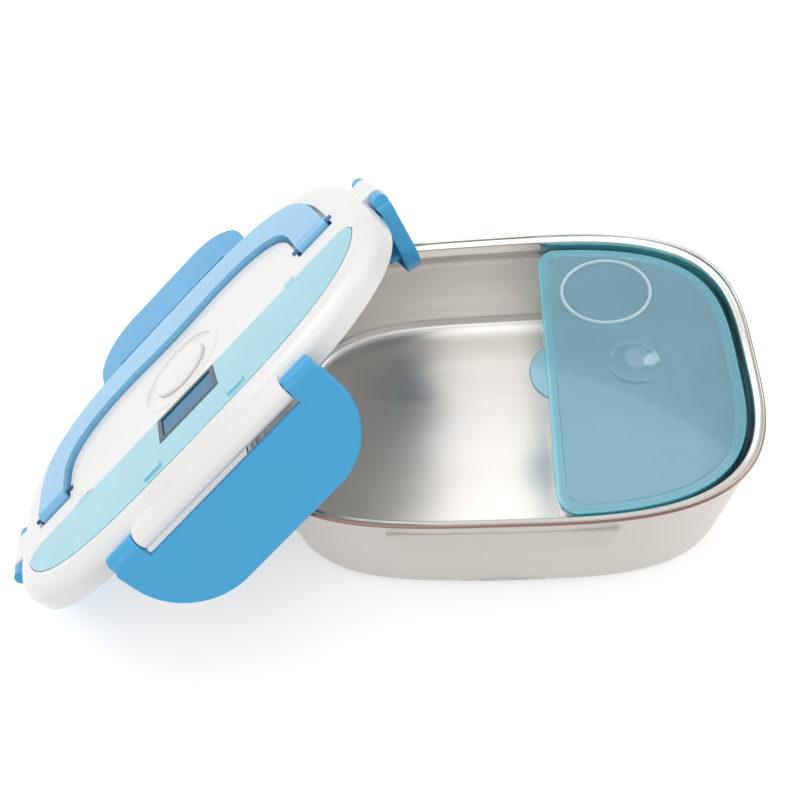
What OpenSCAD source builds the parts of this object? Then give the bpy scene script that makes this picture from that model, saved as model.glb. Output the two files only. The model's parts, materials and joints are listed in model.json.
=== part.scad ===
// Electric lunch box with its lid off and leaning on the left end.
// Frame: origin at the centre of the footprint, on the surface it stands on.
// +X along the long side to the right, +Y to the back, +Z up.

/* [Casing] */
// Length over the rim
rim_l = 236; // [232:1:240]
// Width over the rim
rim_w = 162; // [160:1:166]
// Height of the steel rim above the table
rim_h = 82; // [80:1:86]
// Roundness of the outline, 2 is an ellipse and higher is squarer
corner_power = 3.4; // [3.2:0.1:3.6]
// Draft of the casing wall between rim and foot
casing_draft = 4; // [3:0.5:5]
// Wall of the casing
casing_wall = 2.2; // [2:0.1:2.6]
// Number of points round an outline
outline_points = 64; // [48:8:80]

/* [Tray] */
// Height of the tray's floor above the table
tray_floor_z = 22; // [22:0.5:24]
// Thickness of the tray's steel
tray_sheet = 0.8; // [0.6:0.1:1]

/* [Side-dish box] */
// Straight left side of the box
dish_left = 24.5; // [20:0.5:34]
// Thickness of the clear wall
dish_wall = 1.6; // [1.2:0.1:2]
// Top face of the box's cover
dish_cover_z = 76.5; // [74:0.5:77]

/* [Lid] */
// Overlap of the lid's skirt past the steel rim
lid_overlap = 4; // [3.5:0.5:5]
// Height of the lid's top face above its skirt
lid_h = 15; // [15:0.5:18]
// Straight back edge of the spoon compartment
strip_y = -28; // [-30:0.5:-26]
// Centre of the leaning lid
lid_place = [-145.6, 4.1, 69.4];
// Turn of the leaning lid
lid_turn = [-30.6, -21.6, 37.5];

/* [Latches] */
// Half width of the two large latches
large_latch_half_w = 61; // [56:1:64]
// Length of the large latches below their pin
large_latch_l = 45; // [42:1:48]
// Half width of the two small latches
small_latch_half_w = 22; // [20:1:22]
// Length of the small latches below their pin
small_latch_l = 43; // [40:1:43]
// How far each latch is swung out from hanging straight down
front_latch_swing = 6; // [4:1:30]
// Swing of the back latch
back_latch_swing = 96; // [96:1:120]
// Swing of the right latch
right_latch_swing = -14; // [-14:1:30]
// Swing of the left latch, which is folded in under the lid
left_latch_swing = -45; // [-45:1:-42]

/* [Hidden] */
half_l = rim_l / 2;
half_w = rim_w / 2;
blue = "#4AA3D7";
handle_blue = "#5AAAE0";
cyan = "#B5E4EC";
lid_white = "#F1F0EC";
casing_white = "#DEDAD5";
cover_blue = "#7FC4DA";
steel = "#C9C6C1";

// heights of the base's stack
foot_h = 1.5;
cover_t = 2;
cover_top_z = foot_h + cover_t;
casing_top_z = rim_h - 3.4;
well_flange_t = 0.8;
well_floor_top_z = tray_floor_z - tray_sheet - 2.4;
well_floor_t = 1.8;
well_floor_z = well_floor_top_z - well_floor_t;
heater_gap = 0.2;
heater_plate_t = 2.2;
ptc_h = 4.5;

// catches that the latches hook under
catch_z = rim_h - 25;
catch_h = 15.5;
catch_out = 2.6;
large_catch_half = 50;
small_catch_half = 18;

// inlet at the foot of the front wall
arch_half = 24;
arch_z = 2.6;
arch_rise = 10;
arch_r = (arch_half * arch_half + arch_rise * arch_rise) / (2 * arch_rise);
flap_t = 2;
flap_half = 21;
recess_y = -half_w + casing_draft + 1.2 + flap_t;
flap_axis = [recess_y - 1.3, arch_z + 1.3];
flap_pin_r = 0.6;
inlet_z = 7.6;
inlet_half_w = 9.2;
inlet_half_h = 3.7;
socket_half_w = 7.6;
socket_half_h = 3.1;
socket_depth = 14;
inlet_pin_x = 3.6;
inlet_pin_r = 1.1;
lamp = [14, 6.2];

// screws and feet
post_x = 84;
post_y = 46;
post_r = 4.2;
screw_r = 1.4;
screw_head_r = 3;
foot_x = 92;
foot_y = 26;
foot_r = 7;
plinth_half_l = 76;
plinth_half_w = 36;

// side-dish box
dish_gap = 6.6;
dish_corner = 9;
ring_centre = [56.5, 45.5];
dimple = [65, 2];
dimple_r = 12.5;
dimple_depth = 4;
dimple_sphere_r = (dimple_r * dimple_r + dimple_depth * dimple_depth) / (2 * dimple_depth);
dish_floor_z = tray_floor_z + 0.4 + dish_wall;

// lid, in the lid's own frame with z = 0 at the skirt's lower edge
lid_half_l = half_l + lid_overlap;
lid_half_w = half_w + lid_overlap;
skirt_wall = 3;
panel_z = 5.4;
panel_t = 2;
panel_low_z = 0.3;
panel_plug_inset = 11;
deck_z = panel_z + panel_t;
strip_inset = 10;
strip_floor_z = deck_z + 2;
strip_cover_t = 1.6;
strip_corner = 9;
strip_top_z = lid_h + 0.2;
strip_fit = 0.4;
hinge_axis = [strip_y + 0.6, lid_h - 0.6];
strip_lug_x = 71;
strip_pin_r = 0.9;
label_half_l = 18.8;
label_y = [strip_y - 23.4, strip_y - 1.4];
label_border = 2.6;

// carry handle lying in its pocket
handle_t = 8;
pocket_z = 10;
handle_half_l = 102;
handle_half_w = 73.5;
handle_arm_w = 18.5;
handle_bar_w = 28;
grip_bulge = 4;
grip_reach = 30;
handle_arm_x = handle_half_l - handle_arm_w / 2;
handle_axis_y = -5;
handle_axis_z = pocket_z + 0.2 + handle_t / 2;
handle_fit = 2;
pocket_front_y = -13;
handle_pin_r = 2;

// steam vent
vent_ring_r = 26;
vent_disc_r = 16.5;
vent_stem_r = 3;
vent_hole_r = 5;

// latch hinges
latch_axis_z = 7;
pin_out = 5.6;
small_pin_out = 4.6;
pin_r = 1.5;
running_gap = 0.05;
latch_t = 3;
small_latch_t = 2.4;
barrel_r = 5;
small_barrel_r = 4;
latch_wall = 2.2;
boss_r = 4.6;
large_boss_half = 44;
small_boss_half = 12;
large_corner_r = 33;
small_corner_r = 20;
large_hook_half = 26;
small_hook_half = 14;

// hook that snaps under a catch when the lid is shut
gasket_low = panel_z - 1.4;
hook_drop = rim_h - gasket_low + latch_axis_z - catch_z + 0.4;
hook_h = 3;
hook_bite = 1;

// ---- outlines and solids -------------------------------------------------

// signed power, which squares off a circle
function squared(value, power) = sign(value) * pow(abs(value), 2 / power);

// closed outline that lies between an ellipse and a rectangle
function outline(half_x, half_y, count = outline_points) =
    [for (i = [0:count - 1]) let (t = 360 * i / count)
        [half_x * squared(cos(t), corner_power), half_y * squared(sin(t), corner_power)]];

// right end of an outline, cut off straight at left_x with round corners
function cut_outline(left_x, half_x, half_y, corner, count = 36, arc = 5) =
    let (cut = acos(pow((left_x + corner) / half_x, corner_power / 2)))
    let (side_y = half_y * squared(sin(cut), corner_power))
    concat(
        [for (i = [0:count]) let (t = -cut + 2 * cut * i / count)
            [half_x * squared(cos(t), corner_power), half_y * squared(sin(t), corner_power)]],
        [for (i = [1:arc]) let (t = 90 + 90 * i / arc)
            [left_x + corner + corner * cos(t), side_y - corner + corner * sin(t)]],
        [for (i = [0:arc - 1]) let (t = 180 + 90 * i / arc)
            [left_x + corner + corner * cos(t), corner - side_y + corner * sin(t)]]);

// solid through a stack of rings, each one [outline, height], from the bottom up
module skin(rings) {
    count = len(rings[0][0]);
    last = len(rings) - 1;
    polyhedron(
        points = [for (ring = rings) for (p = ring[0]) [p[0], p[1], ring[1]]],
        faces = concat(
            [[for (i = [0:count - 1]) i]],
            [[for (i = [count - 1:-1:0]) last * count + i]],
            [for (k = [0:last - 1]) for (i = [0:count - 1]) let (j = (i + 1) % count)
                [k * count + i, (k + 1) * count + i, (k + 1) * count + j, k * count + j]]),
        convexity = 6);
}

// solid of the casing's outline through a profile of [inset, height] pairs
module bowl(profile, half_x = half_l, half_y = half_w) {
    skin([for (p = profile) [outline(half_x - p[0], half_y - p[0]), p[1]]]);
}

// straight prism of an outline
module slab(half_x, half_y, z0, z1) {
    translate([0, 0, z0])
        linear_extrude(height = z1 - z0)
            polygon(outline(half_x, half_y));
}

// box between two corners
module block(low, high) {
    translate(low)
        cube(high - low);
}

// cylinder along X between two positions
module rod_x(x0, x1, y, z, r) {
    translate([x0, y, z])
        rotate([0, 90, 0])
            cylinder(r = r, h = x1 - x0, $fn = 40);
}

// ring of a wire's surface at point i, square to the way the wire runs there
function wire_ring(points, i, r, sides = 8) =
    let (run = points[min(i + 1, len(points) - 1)] - points[max(i - 1, 0)])
    let (side = [-run[1], run[0], 0] / norm([run[0], run[1]]))
    let (up = cross(run, side) / norm(run))
    [for (k = [0:sides - 1]) points[i] + r * (cos(360 * k / sides) * side + sin(360 * k / sides) * up)];

// insulated wire through points
module wire(points, r, sides = 8) {
    last = len(points) - 1;
    polyhedron(
        points = [for (i = [0:last]) each wire_ring(points, i, r, sides)],
        faces = concat(
            [[for (k = [0:sides - 1]) k]],
            [[for (k = [sides - 1:-1:0]) last * sides + k]],
            [for (i = [0:last - 1]) for (k = [0:sides - 1]) let (n = (k + 1) % sides)
                [i * sides + k, (i + 1) * sides + k, (i + 1) * sides + n, i * sides + n]]));
}

// the lid's own frame, leaning on the left end of the casing
module in_lid() {
    translate(lid_place)
        rotate(lid_turn)
            children();
}

// ---- base ----------------------------------------------------------------

casing_profile = [[8, foot_h], [5.6, foot_h + 1], [4.4, foot_h + 3.5], [casing_draft, 11],
    [1.6, casing_top_z - 16], [0.9, casing_top_z - 1], [1.3, casing_top_z]];
lip_wall = 1.3;
casing_cavity = [[8.2, foot_h - 1], [6.2, foot_h + 3.5], [casing_draft + casing_wall, 11],
    [1.6 + casing_wall, casing_top_z - 16], [1.2 + lip_wall, casing_top_z - 6],
    [0.9 + lip_wall, casing_top_z + 1]];

// outline of a catch at one height: how far it stands out, half its length
function catch_ring(reach, out, half) =
    [[-half, -reach - out], [half, -reach - out], [half, 4 - reach], [-half, 4 - reach]];

// catch on one side of the wall: a ramp with slanted ends, thickest at its foot
module catch(reach, half) {
    slant = 3;
    translate([0, 0, catch_z])
        skin([
            [catch_ring(reach, catch_out - 0.4, half - slant - 0.2), 0],
            [catch_ring(reach, catch_out, half - slant), 0.8],
            [catch_ring(reach, 0.9, half - 0.2), catch_h - 0.8],
            [catch_ring(reach, 0, half), catch_h]]);
}

// arch-shaped prism at the foot of the front wall
module arch(y0, y1, shrink) {
    intersection() {
        translate([0, y1, arch_z + arch_rise - arch_r])
            rotate([90, 0, 0])
                cylinder(r = arch_r - shrink, h = y1 - y0, $fn = 120);
        block([-arch_half, y0, arch_z + shrink], [arch_half, y1, arch_z + arch_rise]);
    }
}

module base_shell() {
    color(casing_white)
    difference() {
        union() {
            difference() {
                union() {
                    bowl(casing_profile);
                    catch(half_w - 1.5, large_catch_half);
                    rotate([0, 0, 180])
                        catch(half_w - 1.5, large_catch_half);
                    rotate([0, 0, 90])
                        catch(half_l - 1.5, small_catch_half);
                    rotate([0, 0, -90])
                        catch(half_l - 1.5, small_catch_half);
                }
                bowl(casing_cavity);
            }
            arch(recess_y, recess_y + 1.6, -1);
        }
        arch(-half_w - 4, recess_y, 0);
        block([-inlet_half_w, recess_y - 1, inlet_z - inlet_half_h],
            [inlet_half_w, recess_y + 3, inlet_z + inlet_half_h]);
        translate([lamp[0], recess_y + 3, lamp[1]])
            rotate([90, 0, 0])
                cylinder(r = 1.5, h = 4, $fn = 32);
        // recess for the bottom cover
        slab(half_l - 7.6, half_w - 7.6, foot_h - 1, cover_top_z);
    }
}

module bottom_cover() {
    color(casing_white)
    difference() {
        union() {
            slab(half_l - 7.8, half_w - 7.8, foot_h, cover_top_z);
            // flat plinth that stands on the table with the feet
            slab(plinth_half_l, plinth_half_w, 0, foot_h + 1);
        }
        for (x = [-post_x, post_x], y = [-post_y, post_y]) {
            translate([x, y, foot_h - 1])
                cylinder(r = screw_r + 0.1, h = cover_t + 2, $fn = 32);
            translate([x, y, foot_h - 1])
                cylinder(r = screw_head_r + 0.2, h = 2.1, $fn = 32);
        }
        // vent slots under the heater
        for (i = [-3:2])
            block([i * 9 + 3.3, -16, -1], [i * 9 + 5.7, 16, cover_top_z + 1]);
    }
}

module rubber_feet() {
    color("#8F8F8D")
    for (x = [-foot_x, foot_x], y = [-foot_y, foot_y])
        translate([x, y, 0])
            rotate_extrude($fn = 48)
                polygon([[0, 0], [foot_r - 0.8, 0], [foot_r, 0.8], [foot_r, foot_h], [0, foot_h]]);
}

module bottom_screws() {
    color("#9A9A9A")
    for (x = [-post_x, post_x], y = [-post_y, post_y])
        translate([x, y, foot_h]) {
            difference() {
                cylinder(r = screw_head_r, h = 1, $fn = 32);
                block([-2, -0.4, -1], [2, 0.4, 0.5]);
                block([-0.4, -2, -1], [0.4, 2, 0.5]);
            }
            cylinder(r = screw_r, h = 11, $fn = 32);
        }
}

well_profile = [[24, well_floor_z], [15, well_floor_z + 1], [8.4, well_floor_z + 7],
    [4.1, casing_top_z - 8.6], [2.5, casing_top_z - 4], [2.3, casing_top_z]];
well_cavity = [[24.6, well_floor_top_z], [16, well_floor_top_z + 0.6], [10, well_floor_z + 8],
    [5.1, casing_top_z - 8.4], [3.4, casing_top_z - 4], [3.2, casing_top_z + 2]];

module inner_well() {
    color("#E9E7E2")
    difference() {
        union() {
            bowl(well_profile);
            bowl([[1.4, casing_top_z], [1.2, casing_top_z + well_flange_t]]);
            for (x = [-post_x, post_x], y = [-post_y, post_y])
                translate([x, y, cover_top_z])
                    cylinder(r = post_r, h = well_floor_z - cover_top_z + 1, $fn = 40);
        }
        bowl(well_cavity);
        for (x = [-post_x, post_x], y = [-post_y, post_y])
            translate([x, y, cover_top_z - 1])
                cylinder(r = screw_r + running_gap, h = 11, $fn = 32);
        // opening over the heating elements
        block([-52, -26, well_floor_z - 2], [52, 26, well_floor_top_z + 2]);
    }
}

// ---- heater and wiring ---------------------------------------------------

plate_z = well_floor_top_z;
ptc_z = plate_z - ptc_h;

module heater_plate() {
    color("#BFC3C6")
    slab(78, 46, plate_z, plate_z + heater_plate_t - heater_gap);
}

module ptc_heaters() {
    color("#6E6A64")
    for (x = [-26, 26])
        block([x - 18, -12, ptc_z], [x + 18, 12, plate_z]);
}

module heater_clamp() {
    color("#A9ADB0")
    for (x = [-26, 26])
        difference() {
            block([x - 4, -24, ptc_z - 1.2], [x + 4, 24, plate_z]);
            block([x - 5, -12.1, ptc_z], [x + 5, 12.1, plate_z + 1]);
        }
}

module thermostat() {
    color("#2E2E30")
    translate([0, 0, plate_z - 6]) {
        cylinder(r = 7, h = 6, $fn = 48);
        block([-1.5, -10, 0.5], [1.5, 10, 1.3]);
    }
}

module thermal_fuse() {
    color("#D8D2C4")
    rod_x(-44, -30, 18, plate_z - 3.2, 2);
}

wire_z = ptc_z - 3;
module lead_wires() {
    color("#B23A32")
    wire([[-inlet_pin_x, recess_y + 20.6, inlet_z], [-5, recess_y + 24, inlet_z - 0.4],
        [-12, recess_y + 30, wire_z], [-38, -36, wire_z], [-50, -24, wire_z], [-54, 8, plate_z - 3.6],
        [-51, 16, plate_z - 3.2], [-44.2, 18, plate_z - 3.2]], 0.9);
    color("#3A3A3C")
    wire([[inlet_pin_x, recess_y + 20.6, inlet_z], [5, recess_y + 24, inlet_z - 0.4],
        [8, recess_y + 31, wire_z], [8, -30, wire_z], [4, -18, plate_z - 5.4],
        [0.6, -10.5, plate_z - 5.1]], 0.9);
}

// ---- power inlet ---------------------------------------------------------

module power_inlet() {
    color("#2B2B2D")
    difference() {
        union() {
            block([-inlet_half_w + 0.1, recess_y, inlet_z - inlet_half_h + 0.1],
                [inlet_half_w - 0.1, recess_y + 20, inlet_z + inlet_half_h - 0.1]);
            block([-inlet_half_w - 2, recess_y + 1.7, inlet_z - inlet_half_h],
                [inlet_half_w + 2, recess_y + 4, inlet_z + inlet_half_h]);
        }
        // figure-eight socket
        for (x = [-1, 1])
            translate([x * (socket_half_w - socket_half_h), recess_y + socket_depth, inlet_z])
                rotate([90, 0, 0])
                    cylinder(r = socket_half_h, h = socket_depth + 1, $fn = 40);
        block([-4, recess_y - 1, inlet_z - socket_half_h + 0.8],
            [4, recess_y + socket_depth, inlet_z + socket_half_h - 0.8]);
        for (x = [-inlet_pin_x, inlet_pin_x])
            translate([x, recess_y + 21, inlet_z])
                rotate([90, 0, 0])
                    cylinder(r = inlet_pin_r, h = 10, $fn = 32);
    }
}

module inlet_pins() {
    color("#C8CACB")
    for (x = [-inlet_pin_x, inlet_pin_x])
        translate([x, recess_y + 20, inlet_z])
            rotate([90, 0, 0])
                cylinder(r = inlet_pin_r, h = 15, $fn = 32);
}

module indicator_lamp() {
    color("#C8413A")
    translate([lamp[0], recess_y + 3.6, lamp[1]])
        rotate([90, 0, 0]) {
            cylinder(r = 1.45, h = 3.4, $fn = 32);
            cylinder(r = 2.2, h = 1.9, $fn = 32);
        }
}

module inlet_flap() {
    color("#D6D2CC")
    difference() {
        union() {
            difference() {
                // trimmed at the foot so that it clears the recess as it folds down
                intersection() {
                    arch(flap_axis[0] - flap_t / 2, flap_axis[0] + flap_t / 2, 0.4);
                    block([-flap_half, -half_w, flap_axis[1] - 0.4],
                        [flap_half, recess_y, arch_z + arch_rise]);
                }
                block([-12.4, -half_w, arch_z - 1], [12.4, recess_y + 1, flap_axis[1] + 1.4]);
            }
            rod_x(-20, -12.4, flap_axis[0], flap_axis[1], 1);
            rod_x(12.4, 20, flap_axis[0], flap_axis[1], 1);
        }
        rod_x(-30, 30, flap_axis[0], flap_axis[1], flap_pin_r + running_gap);
    }
}

module flap_pin() {
    color("#C8CACB")
    rod_x(-20.5, 20.5, flap_axis[0], flap_axis[1], flap_pin_r);
    color(casing_white)
    difference() {
        block([-12, flap_axis[0] - 1, arch_z], [12, recess_y, flap_axis[1] + 1]);
        rod_x(-13, 13, flap_axis[0], flap_axis[1], flap_pin_r);
    }
}

// ---- tray and side-dish box ----------------------------------------------

tray_inside = [[26, tray_floor_z], [19, tray_floor_z + 0.5], [14.6, tray_floor_z + 2.4],
    [11.8, tray_floor_z + 6], [10.6, tray_floor_z + 11], [6.3, rim_h - 11.8], [4.6, rim_h - 7.4],
    [4.3, rim_h - 2.6], [2, rim_h - 0.6], [1.4, rim_h + 0.5]];
tray_outside = [[26.6, tray_floor_z - tray_sheet], [18.6, tray_floor_z - 0.3],
    [13.9, tray_floor_z + 1.7], [11, tray_floor_z + 5.6], [9.8, tray_floor_z + 11],
    [5.5, rim_h - 11.6], [3.8, rim_h - 7.2], [3.6, rim_h - 2.2]];

module steel_tray() {
    color(steel)
    difference() {
        union() {
            bowl(tray_outside);
            bowl([[0.5, rim_h - 2.4], [0, rim_h - 1.8], [0, rim_h - 0.8], [0.5, rim_h - 0.2], [1, rim_h]]);
        }
        bowl(tray_inside);
    }
}

// solid of the box's outline through [inset, height, inset of the straight side] entries
module dish_solid(profile, corner) {
    skin([for (p = profile)
        [cut_outline(dish_left + p[2], half_l - dish_gap - p[0], half_w - dish_gap - p[0], corner), p[1]]]);
}

module side_dish_box() {
    color("#DCE9EC", 0.5)
    difference() {
        dish_solid([[16.2, dish_floor_z - dish_wall, 6], [12.6, dish_floor_z - 0.3, 3.4],
            [9.6, dish_floor_z + 2.4, 2.4], [8, dish_floor_z + 7, 2.2], [3.2, dish_cover_z - 6, 1.8],
            [2.4, dish_cover_z - 2.2, 1.8]], dish_corner);
        dish_solid([[17.6, dish_floor_z, 7.4], [14, dish_floor_z + 1, 5], [11.2, dish_floor_z + 3.4, 4],
            [9.6, dish_floor_z + 7, 3.8], [4.8, dish_cover_z - 6, 3.4], [4, dish_cover_z - 1, 3.4]],
            dish_corner - 1);
    }
}

// cover with a round dimple pressed into its panel
module side_dish_cover() {
    top = dish_cover_z;
    panel = top - 0.8;
    color(cover_blue, 0.7) {
        difference() {
            union() {
                difference() {
                    dish_solid([[0.6, top - 5, 0.6], [0, top - 3, 0], [0, top - 1, 0], [1, top, 1]],
                        dish_corner);
                    dish_solid([[1.6, top - 6, 1.4], [1.6, top - 1.8, 1.4]], dish_corner - 1);
                    dish_solid([[4.8, panel, 4.8], [4.5, top + 1, 4.5]], dish_corner - 2);
                }
                // wall of the dimple
                translate([dimple[0], dimple[1], panel - dimple_depth + dimple_sphere_r])
                    intersection() {
                        sphere(r = dimple_sphere_r + 1, $fn = 96);
                        translate([0, 0, -dimple_sphere_r - 2])
                            cylinder(r = dimple_r, h = dimple_depth + 1.4, $fn = 64);
                    }
            }
            translate([dimple[0], dimple[1], panel - dimple_depth + dimple_sphere_r])
                sphere(r = dimple_sphere_r, $fn = 96);
        }
        // raised oval ring
        translate([ring_centre[0], ring_centre[1], panel - 0.4])
            oval_ring(22.5, 20.5, 1.4);
        // lift tab on the straight side
        difference() {
            translate([dish_left + 9, 0, top - 3.4])
                cylinder(r = 17, h = 1.6, $fn = 64);
            block([dish_left + 1, -20, top - 6], [dish_left + 30, 20, top + 1]);
        }
    }
}

// oval ring, made as the outline of an ellipse
module oval_ring(half_x, half_y, h) {
    oval = [for (i = [0:47]) [half_x * cos(i * 7.5), half_y * sin(i * 7.5)]];
    inner = [for (i = [0:47]) [(half_x - 2) * cos(i * 7.5), (half_y - 2) * sin(i * 7.5)]];
    linear_extrude(height = h)
        difference() {
            polygon(oval);
            polygon(inner);
        }
}

// ---- lid -----------------------------------------------------------------

lid_profile = [[0.6, 0], [0, 1], [0, lid_h - 8], [0.8, lid_h - 4.6], [3, lid_h - 2], [6, lid_h - 0.6],
    [9, lid_h]];

// places something at one latch hinge: axis along X, outward is -Y
module at_hinge(hinge) {
    rotate([0, 0, hinge[0]])
        translate([0, -hinge[6] - hinge[1], latch_axis_z])
            children();
}

// the four hinges: turn about the lid, distance out from the skirt, half length of the boss,
// half width of the latch, radius of its barrels, thickness of its plate, half length of the lid there
front_hinge = [0, pin_out, large_boss_half, large_latch_half_w, barrel_r, latch_t, lid_half_w];
back_hinge = [180, pin_out, large_boss_half, large_latch_half_w, barrel_r, latch_t, lid_half_w];
right_hinge = [90, small_pin_out, small_boss_half, small_latch_half_w, small_barrel_r, small_latch_t,
    lid_half_l];
left_hinge = [-90, small_pin_out, small_boss_half, small_latch_half_w, small_barrel_r, small_latch_t,
    lid_half_l];
HINGES = [front_hinge, back_hinge, right_hinge, left_hinge];

module hinge_boss(hinge) {
    half = hinge[2];
    rod_x(-half, half, 0, 0, boss_r);
    block([-half, 0, -boss_r], [half, hinge[1] + 3, boss_r]);
}

// how far the grip stands in from the bar's inner edge at x
function bulge(x) = grip_bulge * exp(-pow(x / grip_reach, 2));

// area of the handle, grown by a gap: a U whose bar has a grip
module handle_area(grow) {
    inside = outline(handle_half_l - handle_arm_w - grow, handle_half_w - handle_bar_w - grow);
    difference() {
        polygon(outline(handle_half_l + grow, handle_half_w + grow));
        polygon([for (p = inside) [p[0], p[1] - (p[1] > 0 ? bulge(p[0]) : 0)]]);
        translate([-lid_half_l, -2 * lid_half_w + handle_axis_y - grow])
            square([2 * lid_half_l, 2 * lid_half_w]);
    }
}

// area of the spoon compartment, shrunk by a gap
module strip_area(shrink) {
    rotate([0, 0, -90])
        polygon(cut_outline(shrink - strip_y, lid_half_w - strip_inset - shrink,
            lid_half_l - strip_inset - shrink, strip_corner - shrink));
}

module lid_shell() {
    color(lid_white)
    in_lid()
        difference() {
            union() {
                bowl(lid_profile, lid_half_l, lid_half_w);
                for (h = HINGES)
                    at_hinge(h)
                        hinge_boss(h);
                // ring round the steam vent
                translate([0, 0, lid_h - 1])
                    cylinder(r = vent_ring_r, h = 1.6, $fn = 96);
            }
            slab(lid_half_l - skirt_wall, lid_half_w - skirt_wall, -1, deck_z);
            // seat of the vent plug
            translate([0, 0, lid_h - 0.6])
                cylinder(r = vent_ring_r - 2, h = 3, $fn = 96);
            cylinder(r = vent_stem_r + 0.3, h = lid_h + 5, $fn = 40);
            // pocket of the carry handle
            translate([0, 0, pocket_z])
                linear_extrude(height = lid_h)
                    handle_area(handle_fit);
            block([-handle_half_l - handle_fit, pocket_front_y, pocket_z],
                [-handle_half_l + handle_arm_w + handle_fit, handle_axis_y, lid_h + 1]);
            block([handle_half_l - handle_arm_w - handle_fit, pocket_front_y, pocket_z],
                [handle_half_l + handle_fit, handle_axis_y, lid_h + 1]);
            for (side = [-1, 1])
                rod_x(side * handle_arm_x - 13, side * handle_arm_x + 13, handle_axis_y, handle_axis_z,
                    handle_pin_r);
            // spoon compartment and the step that its cover rests on
            translate([0, 0, strip_floor_z])
                linear_extrude(height = lid_h)
                    strip_area(4);
            translate([0, 0, lid_h - strip_cover_t - 0.1])
                linear_extrude(height = 5)
                    strip_area(0);
            for (side = [-1, 1]) {
                block([side * strip_lug_x - 3.4, strip_y - 5, lid_h - 3.4],
                    [side * strip_lug_x + 3.4, strip_y + 2.8, lid_h + 1]);
                rod_x(side * strip_lug_x - 6, side * strip_lug_x + 6,
                    hinge_axis[0], hinge_axis[1], strip_pin_r);
            }
            for (h = HINGES)
                at_hinge(h)
                    rod_x(-h[3], h[3], 0, 0, pin_r);
        }
}

module lid_inner_panel() {
    color("#ECEBE6")
    in_lid()
        difference() {
            union() {
                slab(lid_half_l - skirt_wall - 0.2, lid_half_w - skirt_wall - 0.2, panel_z, deck_z);
                slab(lid_half_l - panel_plug_inset, lid_half_w - panel_plug_inset, panel_low_z, deck_z);
            }
            // hollow above the plug, open to the lid's inside
            slab(lid_half_l - panel_plug_inset - 2, lid_half_w - panel_plug_inset - 2,
                panel_low_z + panel_t, deck_z + 1);
            difference() {
                slab(lid_half_l - 4.6, lid_half_w - 4.6, panel_z - 1, panel_z + 0.9);
                slab(lid_half_l - 10, lid_half_w - 10, panel_z - 2, panel_z + 2);
            }
            cylinder(r = vent_hole_r, h = lid_h, $fn = 48);
        }
}

module lid_gasket() {
    color("#E4E6E4")
    in_lid()
        difference() {
            slab(lid_half_l - 4.8, lid_half_w - 4.8, panel_z - 1.4, panel_z + 0.8);
            slab(lid_half_l - 9.8, lid_half_w - 9.8, panel_z - 2, panel_z + 2);
        }
}

module spoon_cover() {
    color(cyan)
    in_lid()
        difference() {
            union() {
                translate([0, 0, strip_top_z - strip_cover_t])
                    linear_extrude(height = strip_cover_t)
                        strip_area(strip_fit);
                for (side = [-1, 1])
                    block([side * strip_lug_x - 2.8, strip_y - 2, hinge_axis[1] - 1.8],
                        [side * strip_lug_x + 2.8, strip_y + 2.2, hinge_axis[1] + 1]);
                // snap clips at the curved side
                for (x = [-25, 27])
                    block([x - 5, -lid_half_w + strip_inset + 5, strip_top_z - 3.6],
                        [x + 5, -lid_half_w + strip_inset + 8.4, strip_top_z + 0.9]);
            }
            translate([0, 0, strip_top_z - 0.8])
                linear_extrude(height = 2)
                    translate([-label_half_l, label_y[0]])
                        square([2 * label_half_l, label_y[1] - label_y[0]]);
            for (side = [-1, 1])
                rod_x(side * strip_lug_x - 4, side * strip_lug_x + 4, hinge_axis[0], hinge_axis[1],
                    strip_pin_r + running_gap);
        }
}

module spoon_cover_pins() {
    color("#B9BCBE")
    in_lid()
        for (side = [-1, 1])
            rod_x(side * strip_lug_x - 6, side * strip_lug_x + 6, hinge_axis[0], hinge_axis[1], strip_pin_r);
}

module label_frame() {
    color("#1E3B4A")
    in_lid()
        difference() {
            block([-label_half_l, label_y[0], strip_top_z - 0.8],
                [label_half_l, label_y[1], strip_top_z + 0.3]);
            block([-label_half_l + label_border, label_y[0] + label_border, strip_top_z - 2],
                [label_half_l - label_border, label_y[1] - label_border, strip_top_z + 2]);
        }
}

module label_card() {
    color("#3E8FA6")
    in_lid()
        block([-label_half_l + label_border, label_y[0] + label_border, strip_top_z - 0.8],
            [label_half_l - label_border, label_y[1] - label_border, strip_top_z - 0.3]);
}

module vent_plug() {
    color("#F6F5F2")
    in_lid() {
        translate([0, 0, lid_h - 0.5])
            rotate_extrude($fn = 96)
                polygon([[0, 0], [vent_disc_r, 0], [vent_disc_r, 1.2], [vent_disc_r - 1.6, 2.4], [0, 3]]);
        translate([0, 0, panel_low_z])
            cylinder(r = vent_stem_r, h = lid_h - panel_low_z - 0.4, $fn = 40);
    }
}

module vent_seal() {
    color("#D9DBDA")
    in_lid()
        difference() {
            union() {
                translate([0, 0, panel_low_z + panel_t])
                    cylinder(r = 7, h = 1.4, $fn = 48);
                translate([0, 0, panel_low_z])
                    cylinder(r = vent_hole_r, h = panel_t + 1, $fn = 48);
            }
            cylinder(r = vent_stem_r + running_gap, h = lid_h, $fn = 40);
        }
}

module carry_handle() {
    color(handle_blue)
    in_lid()
        difference() {
            union() {
                translate([0, 0, handle_axis_z - handle_t / 2])
                    linear_extrude(height = handle_t)
                        handle_area(0);
                for (side = [-1, 1])
                    rod_x(side * handle_arm_x - handle_arm_w / 2, side * handle_arm_x + handle_arm_w / 2,
                        handle_axis_y, handle_axis_z, handle_t / 2);
            }
            for (side = [-1, 1])
                rod_x(side * handle_arm_x - 12, side * handle_arm_x + 12, handle_axis_y, handle_axis_z,
                    handle_pin_r + running_gap);
        }
}

module handle_pins() {
    color("#B9BCBE")
    in_lid()
        for (side = [-1, 1])
            rod_x(side * handle_arm_x - 13, side * handle_arm_x + 13, handle_axis_y, handle_axis_z,
                handle_pin_r);
}

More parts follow.
